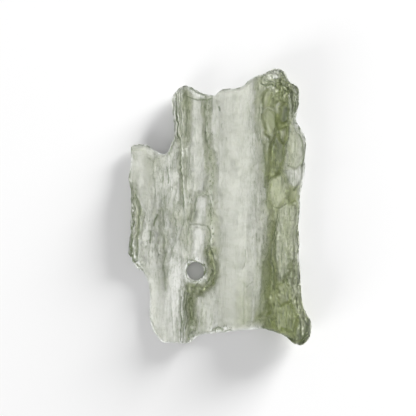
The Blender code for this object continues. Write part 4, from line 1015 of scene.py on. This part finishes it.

# %% [markdown]
# ## What the skin is like, stored on the mesh
#
# The relief and the glass need to know where they are: on the underside, in a crease, on a rough
# break, in a frosted hollow, or where the flow has left strong streaks. Named attributes on the
# vertices carry that from this script into Geometry Nodes and into the shader.
#
# Two more things follow from the shape. A narrow crease gets a painted highlight on its lip, to the
# right of it towards the light, made as frost. The broken edge gets a thin band of painted shade,
# darker than the glass beside it, but some stretches of it get a painted highlight instead.

# %% How near each vertex is to the places of one kind


def nearness(places, x, y):
    """The strength of each place on its path, fading to 0 over its reach. The strongest one counts."""
    near = np.zeros(len(x))
    for path, reach, strength in places.values():
        near = np.maximum(near, strength * fading(path, reach, x, y))
    return near


def store(mesh, name, values):
    """Keep one value for each vertex, as a named attribute of the mesh."""
    mesh.attributes.new(name, "FLOAT", "POINT").data.foreach_set("value", values.astype(np.float32))
    print(f"{name}: mean {values.mean():.3f}")


print("how rough the crest is:", nearness(ROUGH_PLACES, np.array([8.5]), np.array([8.0])).round(2))

# %% Attributes of the skin
EDGE_BAND_REACH = 0.16  # how far in from the broken edge its thin band of painted shade or highlight reaches, in millimetres
WALL_BAND_SHARE = 0.45  # how much of that painted band lies on the wall below it
LIP_HIGHLIGHT = 0.45  # how strong the painted highlight, made as frost, is on the lip beside a crease with full painted shade
LIP_WIDTH = 0.12  # creases wider than this have no lip
THICK = 7.0  # thickness in millimetres at which the attribute of that name would be 1
# stretches of the edge that get a painted highlight instead of painted shade
HIGHLIT_EDGES = ("bottom", "left toe", "lower left side", "notch", "side of the block")
HIGHLIT_WIDTH = 0.13  # how far in from these the painted highlight reaches
HIGHLIT_RIM = {name: (OUTLINE[name], HIGHLIT_WIDTH, 1.0) for name in HIGHLIT_EDGES}
x, y = vertices[:, 0], vertices[:, 1]
store(mesh, "thick", thickness(x, y) / THICK)
# the band along the edge: painted shade or painted highlight, left out where the edge is highlit
highlit_rim = nearness(HIGHLIT_RIM, x, y)
painted_edge_band = np.exp(-((edge_distance(tree, x, y) / EDGE_BAND_REACH) ** 2)) * (1 - highlit_rim)
painted_edge_band[len(front) + len(back) :] *= WALL_BAND_SHARE
store(mesh, "painted_edge_band", painted_edge_band)
x, y = warped(x, y)
underside = np.zeros(len(x))
underside[len(front) : len(front) + len(back)] = 1.0
creases = {name: (path, width, painted_shade) for name, (path, _, width, painted_shade) in CREASES.items()}
# a painted highlight lies on the lip two half widths to the right of its crease, towards the light
lip_highlights = {
    name: ([(a + 2 * width, b) for a, b in path], width, LIP_HIGHLIGHT * painted_shade)
    for name, (path, width, painted_shade) in creases.items()
    if width <= LIP_WIDTH
}
# painted shade in the creases and in the darkened places, stored as the crease attribute
crease = np.maximum(nearness(creases, x, y), nearness(DARKENED_PLACES, x, y))
# frost, together with the painted highlights on the crease lips
frost_and_highlight = np.maximum(nearness(FROSTED_AND_HIGHLIT_PLACES, x, y), nearness(lip_highlights, x, y)) * (1 - crease)
store(mesh, "underside", underside)
store(mesh, "crease", crease * (1 - underside))
store(mesh, "rough", nearness(ROUGH_PLACES, x, y))
store(mesh, "frost_and_highlight", np.maximum(frost_and_highlight, highlit_rim) * (1 - underside))
store(mesh, "streaky", 1 - nearness(CALM_PLACES, x, y))

# %% [markdown]
# ## Small helpers for node trees
#
# Both kinds of tree, geometry and shader, are built by one function. It adds a node, sets it up, and
# fills each of its inputs either with a value or with a link from another node. Colours are written
# as the sRGB codes that a colour picker shows, and one function turns them into the linear values
# that Blender works with.

# %% Colour and node helpers
MATH, VECTOR = "ShaderNodeMath", "ShaderNodeVectorMath"


def srgb(code):
    """Linear colour from an sRGB hex value."""
    values = [int(code[i : i + 2], 16) / 255 for i in (1, 3, 5)]
    return [v / 12.92 if v <= 0.04045 else ((v + 0.055) / 1.055) ** 2.4 for v in values] + [1.0]


def add(nodes_of, kind, inputs=None, **settings):
    """A node with its settings. Each input, named or numbered, is a value, a node or a socket."""
    node = nodes_of.nodes.new(kind)
    for name, value in settings.items():
        setattr(node, name, value)
    for name, source in (inputs or {}).items():
        if isinstance(source, bpy.types.Node):
            source = source.outputs[0]
        if isinstance(source, bpy.types.NodeSocket):
            nodes_of.links.new(source, node.inputs[name])
        else:
            node.inputs[name].default_value = source
    return node


print("olive in linear values:", [round(v, 3) for v in srgb("#66754A")[:3]])

# %% [markdown]
# ## The etched relief
#
# Etching opened the glass along its flow, so the skin is covered in fine streaks, with pits between
# them and shell-shaped chips where it is broken. None of it was placed by anyone, so it comes from
# textures in a Geometry Nodes tree, which moves each vertex along its normal. A bump map would be
# cheaper, but it leaves the outline smooth. A Displace modifier could carry only one such texture.
#
# The tree's inputs are sizes in metres, so a reader can see at once what each of them changes.

# %% A tree with named sizes
relief = bpy.data.node_groups.new("etched_relief", "GeometryNodeTree")
relief.interface.new_socket("Geometry", in_out="INPUT", socket_type="NodeSocketGeometry")
RELIEF_INPUTS = {
    "Streak width": 0.36 * MM,
    "Streak length": 5.5 * MM,
    "Streak height": 0.50 * MM,
    "Streak wander": 0.70 * MM,  # how far, from side to side, a streak strays from a straight line
    "Wander length": 4.0 * MM,
    "Pit size": 0.55 * MM,
    "Pit depth": 0.05 * MM,
    "Chip size": 0.80 * MM,
    "Chip depth": 0.22 * MM,
    "Seed": 0.0,  # each whole step takes the textures from a place 50 mm further off
}
for name in RELIEF_INPUTS:
    relief.interface.new_socket(name, in_out="INPUT", socket_type="NodeSocketFloat")
relief.interface.new_socket("Skin", in_out="INPUT", socket_type="NodeSocketMaterial")
relief.interface.new_socket("Geometry", in_out="OUTPUT", socket_type="NodeSocketGeometry")
given = add(relief, "NodeGroupInput").outputs
print("the relief has", len(given) - 1, "inputs")

# %% [markdown]
# The streaks are a noise that is squeezed across the stone and drawn out along it. A second, slower
# noise first pushes the places sideways, so that the streaks wander as real flow lines do.

# %% Streaks along the flow
seed_step = add(relief, MATH, {0: given["Seed"], 1: 50 * MM}, operation="MULTIPLY")
seed_way = add(relief, "ShaderNodeCombineXYZ", {"Z": seed_step})
place = add(relief, VECTOR, {0: add(relief, "GeometryNodeInputPosition"), 1: seed_way}, operation="ADD")
slow_scale = add(relief, MATH, {0: 1.0, 1: given["Wander length"]}, operation="DIVIDE")
drift = add(relief, "ShaderNodeTexNoise", {"Vector": place, "Scale": slow_scale, "Detail": 1.0})
drift = add(relief, MATH, {0: drift, 1: 0.5}, operation="SUBTRACT")
drift = add(relief, MATH, {0: drift, 1: given["Streak wander"]}, operation="MULTIPLY")
drift = add(relief, "ShaderNodeCombineXYZ", {"X": drift})
strayed = add(relief, VECTOR, {0: place, 1: drift}, operation="ADD")
grain = {"X": given["Streak width"], "Y": given["Streak length"], "Z": given["Streak width"]}
grain = add(relief, "ShaderNodeCombineXYZ", grain)
along_flow = add(relief, VECTOR, {0: strayed, 1: grain}, operation="DIVIDE")
streak_noise = {"Vector": along_flow, "Scale": 1.0, "Detail": 3.0, "Roughness": 0.6}
streaks = add(relief, "ShaderNodeTexNoise", streak_noise)
print("streaks", RELIEF_INPUTS["Streak width"] / MM, "mm wide")

# %% [markdown]
# Pits and chips are both cells of a Voronoi texture, because the distance to the nearest cell point
# is a small bowl. Smooth cells look etched and are used everywhere. Sharp ones look broken and are
# kept to the rough places. The underside gets none of this, so that the stone lies as flat as before.

# %% Pits, chips, and the move along the normal
marked = {
    name: add(relief, "GeometryNodeInputNamedAttribute", {"Name": name}, data_type="FLOAT")
    for name in ("streaky", "rough", "underside")
}
pit_place = add(relief, MATH, {0: 1.0, 1: given["Pit size"]}, operation="DIVIDE")
pit_place = add(relief, VECTOR, {0: place, "Scale": pit_place}, operation="SCALE")
pit_cells = {"Vector": pit_place, "Scale": 1.0, "Smoothness": 0.3}
pits = add(relief, "ShaderNodeTexVoronoi", pit_cells, feature="SMOOTH_F1")
chip_place = add(relief, MATH, {0: 1.0, 1: given["Chip size"]}, operation="DIVIDE")
chip_place = add(relief, VECTOR, {0: strayed, "Scale": chip_place}, operation="SCALE")
chips = add(relief, "ShaderNodeTexVoronoi", {"Vector": chip_place, "Scale": 1.0}, feature="F1")
rise = 0.0
for texture, height, where in (
    (streaks, given["Streak height"], marked["streaky"]),
    (pits, given["Pit depth"], 1.0),
    (chips, given["Chip depth"], marked["rough"]),
):
    level = add(relief, MATH, {0: texture, 1: 0.5}, operation="SUBTRACT")
    level = add(relief, MATH, {0: level, 1: height}, operation="MULTIPLY")
    rise = add(relief, MATH, {0: level, 1: where, 2: rise}, operation="MULTIPLY_ADD")
above = add(relief, MATH, {0: 1.0, 1: marked["underside"]}, operation="SUBTRACT")
rise = add(relief, MATH, {0: rise, 1: above}, operation="MULTIPLY")
offset = {0: add(relief, "GeometryNodeInputNormal"), "Scale": rise}
offset = add(relief, VECTOR, offset, operation="SCALE")
moved = add(relief, "GeometryNodeSetPosition", {"Geometry": given["Geometry"], "Offset": offset})
moved = add(relief, "GeometryNodeRealizeInstances", {"Geometry": moved})
moved = add(relief, "GeometryNodeSetMaterial", {"Geometry": moved, "Material": given["Skin"]})
add(relief, "NodeGroupOutput", {"Geometry": moved})
print(len(relief.nodes), "nodes in the relief")

# %% [markdown]
# ## The glass
#
# Moldavite is a silica-rich natural glass with an IOR of 1.48 to 1.50. Its green comes from a little
# iron all through it, so the colour belongs in the volume: thin places look nearly white and thick
# ones bottle green. A green Base Color alone would tint thin and thick places alike.
#
# Its skin is etched to a satin gloss, and several thin things lie on it. Each is a pattern that says
# where it is, and the next cells make these patterns. All their sizes are widths and lengths in
# millimetres, so they stay right if the camera moves closer.

# %% Patterns on the skin
glass = bpy.data.materials.new("etched_natural_glass")
glass.use_nodes = True
shading = glass.node_tree
shading.nodes.clear()
spot = add(shading, "ShaderNodeTexCoord").outputs["Object"]
on_skin = {
    name: add(shading, "ShaderNodeAttribute", attribute_name=name).outputs["Fac"]
    for name in ("thick", "underside", "crease", "rough", "frost_and_highlight", "streaky", "painted_edge_band")
}


def stretched(width, length, detail, distortion=0.0):
    """A noise whose grains have the given width and length along the stone, in millimetres."""
    size = (width * MM, length * MM, width * MM)
    spot_in_grains = add(shading, VECTOR, {0: spot, 1: size}, operation="DIVIDE")
    values = {"Scale": 1.0, "Detail": detail, "Roughness": 0.6, "Distortion": distortion}
    return add(shading, "ShaderNodeTexNoise", {"Vector": spot_in_grains, **values})


def patches(width, length, low, high, most=1.0, detail=2.0, distortion=0.0):
    """Such a noise turned into patches: 0 where it is below low, and the most above high."""
    values = {"From Min": low, "From Max": high, "To Min": 0.0, "To Max": most}
    values["Value"] = stretched(width, length, detail, distortion)
    return add(shading, "ShaderNodeMapRange", values, interpolation_type="SMOOTHSTEP")


def threads(width, length, half_width, detail, distortion):
    """Thin lines where such a noise passes its middle value, as wide as half_width of that value."""
    off = add(shading, MATH, {0: stretched(width, length, detail, distortion), 1: 0.5}, operation="SUBTRACT")
    off = add(shading, MATH, {0: off}, operation="ABSOLUTE")
    values = {"Value": off, "From Min": 0.0, "From Max": half_width, "To Min": 1.0, "To Max": 0.0}
    return add(shading, "ShaderNodeMapRange", values, interpolation_type="SMOOTHSTEP")


long_threads = threads(width=0.45, length=6.0, half_width=0.06, detail=3.0, distortion=0.5)
long_threads = add(shading, MATH, {0: long_threads, 1: patches(1.5, 4.0, 0.44, 0.60)}, operation="MULTIPLY")
hairs = threads(width=0.20, length=2.5, half_width=0.06, detail=2.0, distortion=0.4)
hairs = add(shading, MATH, {0: hairs, 1: patches(1.1, 3.0, 0.44, 0.60, 0.8)}, operation="MULTIPLY")
film = add(shading, MATH, {0: long_threads, 1: hairs}, operation="MAXIMUM")
print(len(shading.nodes), "nodes so far")

# %% [markdown]
# Specks are clay caught in the pits, and flecks are tiny frosted chips between them. Both are thick
# on broken places and thin elsewhere. The broken edge has a narrow border of painted shade in some
# places and of painted highlight in others, where the glass lets less light in.

# %% Specks, flecks, and the painted shade and highlight along the edge
ELSEWHERE = 0.30  # how strong the specks and flecks are where the stone isn't broken
lively = add(shading, MATH, {0: on_skin["streaky"], 1: ELSEWHERE}, operation="MULTIPLY")
lively = add(shading, MATH, {0: on_skin["rough"], 1: lively}, operation="MAXIMUM")
specks = add(shading, MATH, {0: patches(0.30, 0.50, 0.54, 0.61, detail=3.0), 1: lively}, operation="MULTIPLY")
flecks = patches(0.30, 0.50, 0.46, 0.40, detail=3.0)  # the other way round: full where the noise is low
flecks = add(shading, MATH, {0: flecks, 1: lively}, operation="MULTIPLY")
# painted shade in patches along the edge band; the rest of the band is painted highlight
painted_edge_shade = add(shading, MATH, {0: on_skin["painted_edge_band"], 1: patches(0.9, 1.2, 0.46, 0.54)}, operation="MULTIPLY")
painted_edge_highlight = add(shading, MATH, {0: on_skin["painted_edge_band"], 1: painted_edge_shade}, operation="SUBTRACT")
print(len(shading.nodes), "nodes with specks and border")

# %% [markdown]
# Base Color works on glass like a filter over it, so the layers are laid over white one by one, each
# with its share. Thick glass gets a little more yellow, which real moldavite also shows when light
# has a long way to go through it. Full layers would look painted, so only the deepest green and the
# painted shade of the darkest creases cover what is under them.

# %% Colour of the skin, layer by layer
DEEP_GREEN = "#F0F8B4"  # filter over the thickest glass
FLOW_OLIVE = "#66754A"  # in the flow lines, and in the faint clouds between them
CLAY_AND_SHADE_GREEN = "#55682E"  # clay in the pits, and painted shade in the creases, the darkened places and along the edge, seen through the glass
FILM_SHARE, SPECK_SHARE, EDGE_SHADE_SHARE = 0.75, 0.90, 0.65  # how fully each covers what is under it
deep = {"Value": on_skin["thick"], "From Min": 0.15, "From Max": 0.85, "To Min": 0.0, "To Max": 1.0}
deep = add(shading, "ShaderNodeMapRange", deep, interpolation_type="SMOOTHSTEP")
film = add(shading, MATH, {0: film, 1: on_skin["streaky"]}, operation="MULTIPLY")
film = add(shading, MATH, {0: film, 1: FILM_SHARE}, operation="MULTIPLY")
specks = add(shading, MATH, {0: specks, 1: SPECK_SHARE}, operation="MULTIPLY")
edge_shade_cover = add(shading, MATH, {0: painted_edge_shade, 1: EDGE_SHADE_SHARE}, operation="MULTIPLY")
layers = (
    (deep, DEEP_GREEN),
    (film, FLOW_OLIVE),
    (specks, CLAY_AND_SHADE_GREEN),
    # painted shade along the broken edge
    (edge_shade_cover, CLAY_AND_SHADE_GREEN),
    (patches(1.6, 1.6, 0.45, 0.70, 0.20, 3.0, 0.3), FLOW_OLIVE),
    (patches(3.2, 1.3, 0.48, 0.66, 0.10, 2.0, 0.8), FLOW_OLIVE),
    # painted shade in the creases and darkened places
    (on_skin["crease"], CLAY_AND_SHADE_GREEN),
)
colour = srgb("#FFFFFF")
for share, shade in layers:
    mixed = {0: share, 6: colour, 7: srgb(shade)}  # 6 and 7 are the inputs for two colours
    colour = add(shading, "ShaderNodeMix", mixed, data_type="RGBA").outputs[2]
print(len(layers), "layers of colour")

# %% [markdown]
# Transmission Weight is the share of the light that goes into the glass. The rest is scattered at
# the skin, and that is what frosting is. Frosted hollows and flecks scatter some of it, and so do the
# painted highlights on crease lips, thin ledges and stretches of the edge; thin glass scatters a
# little everywhere. The underside scatters nearly all, as its etched skin seen from inside does: it
# sends the light back up, and the stone then glows by its own thickness instead of showing the floor.

# %% How much light goes into the glass
CLEAR = 0.98  # share of the light that a clean skin lets in
UNDERSIDE = 0.10  # and the etched underside
veil = {"Value": on_skin["thick"], "From Min": 0.12, "From Max": 0.50, "To Min": 0.10, "To Max": 0.0}
veil = add(shading, "ShaderNodeMapRange", veil, interpolation_type="SMOOTHSTEP")
enters = add(shading, MATH, {0: CLEAR, 1: veil}, operation="SUBTRACT")
# the frost mask and the pale stretch of the edge band also carry painted highlights
for where, kept_out in (
    (on_skin["frost_and_highlight"], 0.75),
    (flecks, 0.60),
    (painted_edge_highlight, 0.50),
    (on_skin["underside"], CLEAR - UNDERSIDE),
):
    lost = add(shading, MATH, {0: where, 1: kept_out}, operation="MULTIPLY")
    enters = add(shading, MATH, {0: enters, 1: lost}, operation="SUBTRACT")
enters = add(shading, MATH, {0: enters, 1: UNDERSIDE}, operation="MAXIMUM")
print("clear glass lets in", CLEAR, "and the underside", UNDERSIDE)

# %% [markdown]
# The last cell puts the shader together. Roughness varies in slow clouds, as wear does. The relief
# stops at about a tenth of a millimetre, so a weak bump adds the finest grain below that. In each
# metre the volume absorbs its density times one minus its colour, so a stone that is only a few
# millimetres thick needs a density in the hundreds.

# %% Etched natural glass: satin gloss, colour that deepens with thickness
GLASS_IOR = 1.49
GLASS_GREEN = "#9AA43F"
GLASS_DENSITY = 200.0
GRAIN_DEPTH = 0.07 * MM
satin = {"From Min": 0.3, "From Max": 0.7, "To Min": 0.38, "To Max": 0.52}
satin["Value"] = stretched(1.6, 1.6, 3.0, 0.3)
satin = add(shading, "ShaderNodeMapRange", satin, interpolation_type="SMOOTHSTEP")
grain_height = {0: stretched(0.12, 0.36, 2.0), 1: 0.5, 2: stretched(0.30, 5.0, 4.0, 0.4)}
grain_height = add(shading, MATH, grain_height, operation="MULTIPLY_ADD")
bump = add(shading, "ShaderNodeBump", {"Height": grain_height, "Strength": 1.0, "Distance": GRAIN_DEPTH})
body = {"Base Color": colour, "Transmission Weight": enters, "Roughness": satin, "Normal": bump}
body["IOR"] = GLASS_IOR
body = add(shading, "ShaderNodeBsdfPrincipled", body)
depth = {"Color": srgb(GLASS_GREEN), "Density": GLASS_DENSITY}
depth = add(shading, "ShaderNodeVolumeAbsorption", depth)
add(shading, "ShaderNodeOutputMaterial", {"Surface": body, "Volume": depth})
print("glass made of", len(shading.nodes), "nodes")

# %% [markdown]
# ## Applying the relief
#
# The tree runs once as a modifier on the stone. Its result is then copied into a plain mesh and the
# modifier is taken off, because a finished part should hold real vertices that any program can read.

# %% The relief becomes real vertices
modifier = stone.modifiers.new("relief", "NODES")
modifier.node_group = relief
sockets = {item.name: item.identifier for item in relief.interface.items_tree if item.in_out == "INPUT"}
for name, value in RELIEF_INPUTS.items():
    modifier[sockets[name]] = value
modifier[sockets["Skin"]] = glass
finished = bpy.data.meshes.new_from_object(stone.evaluated_get(bpy.context.evaluated_depsgraph_get()))
stone.modifiers.clear()
stone.data = finished
bpy.data.meshes.remove(mesh)
finished.name = "moldavite_stone"
size = np.array([v.co for v in finished.vertices])
print("stone with relief, in mm:", ((size.max(axis=0) - size.min(axis=0)) / MM).round(2))

# %% [markdown]
# ## The table and its light
#
# A see-through stone is mostly seen by what is under it, so it lies on plain white paper. It lies a
# tenth of a millimetre above it, since two faces at the same height flicker in a render.

# %% White paper
FLOOR_GAP = 0.1 * MM
PAPER_SIZE = 1.2  # in metres
bpy.ops.mesh.primitive_plane_add(size=PAPER_SIZE, location=(0, 0, -FLOOR_GAP))
floor = bpy.context.object
floor.name = "floor"
paper = bpy.data.materials.new("white_paper")
paper.use_nodes = True
paper_skin = paper.node_tree.nodes["Principled BSDF"].inputs
paper_skin["Base Color"].default_value = srgb("#F4F4F4")
paper_skin["Roughness"].default_value = 0.9
floor.data.materials.append(paper)
print("paper", round(floor.dimensions.x, 2), "m across")

# %% [markdown]
# Three soft lamps do two jobs. The key lamp stands low and lights only the paper, which gives the
# stone its long soft shadow. A weaker one across from it does the same for the other side, as a
# white wall does in a studio. The fill lamp hangs above and lights only the stone, so that its tone
# depends on how thick the glass is and not on where the shadow falls. One lamp for all would do,
# but then either the shadow is too weak or the glass is too dark. The world is even and white.

# %% Lamps
PAPER_WHITE = 0.9  # how much light the paper sends back


def round_lamp(name, azimuth, elevation, distance, size, share, only):
    """A round lamp for one object, as strong as would give the paper the given share of white."""
    turn, tilt = np.radians(azimuth), np.radians(elevation)
    way = Vector((np.cos(turn) * np.cos(tilt), np.sin(turn) * np.cos(tilt), np.sin(tilt)))
    light = bpy.data.lights.new(name, "AREA")
    light.shape = "DISK"
    light.size = size
    light.energy = np.pi**2 * share * distance**2 / (PAPER_WHITE * np.sin(tilt))
    lamp = bpy.data.objects.new(name, light)
    lamp.location = way * distance
    lamp.rotation_euler = way.to_track_quat("Z", "Y").to_euler()
    bpy.context.scene.collection.objects.link(lamp)
    lit = bpy.data.collections.new(name + "_lights_only")
    lit.objects.link(only)
    lamp.light_linking.receiver_collection = lit
    print(f"{name}: {light.energy:.1f} W")


round_lamp("key", 44, 7, 1.20, 0.70, 0.42, floor)
round_lamp("far_wall", 225, 12, 1.20, 0.80, 0.15, floor)
round_lamp("fill", 31, 75, 0.60, 0.50, 1.13, stone)

# %% The world
WORLD_SHARE = 0.42  # what the world alone makes of the paper, as a share of white
world = bpy.data.worlds.new("studio")
bpy.context.scene.world = world
world.use_nodes = True
sky = world.node_tree.nodes["Background"].inputs
sky["Color"].default_value = (1, 1, 1, 1)
sky["Strength"].default_value = WORLD_SHARE / PAPER_WHITE
bpy.context.scene.view_settings.view_transform = "Standard"
print("world strength", round(WORLD_SHARE / PAPER_WHITE, 3))

# %% [markdown]
# The camera looks straight down. A long lens keeps the sides of the stone from leaning outwards, as
# they would under a wide one.

# %% Camera
FRAME_WIDTH = 62.4 * MM  # what the picture shows from side to side, at the height of the stone
STONE_MIDDLE = 3.0 * MM
VIEW_MIDDLE = (-1.65 * MM, -0.225 * MM)  # the place on the table that the camera stands over
camera = bpy.data.cameras.new("camera")
camera.lens = 100
camera.sensor_width = 36
camera.clip_start = 0.01
eye = bpy.data.objects.new("camera", camera)
eye.location = (*VIEW_MIDDLE, FRAME_WIDTH * camera.lens / camera.sensor_width + STONE_MIDDLE)
bpy.context.scene.collection.objects.link(eye)
bpy.context.scene.camera = eye
print("camera at", [round(v, 4) for v in eye.location])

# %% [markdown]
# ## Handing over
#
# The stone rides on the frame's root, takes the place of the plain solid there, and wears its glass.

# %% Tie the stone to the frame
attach(stone, "root")
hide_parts("moldavite")
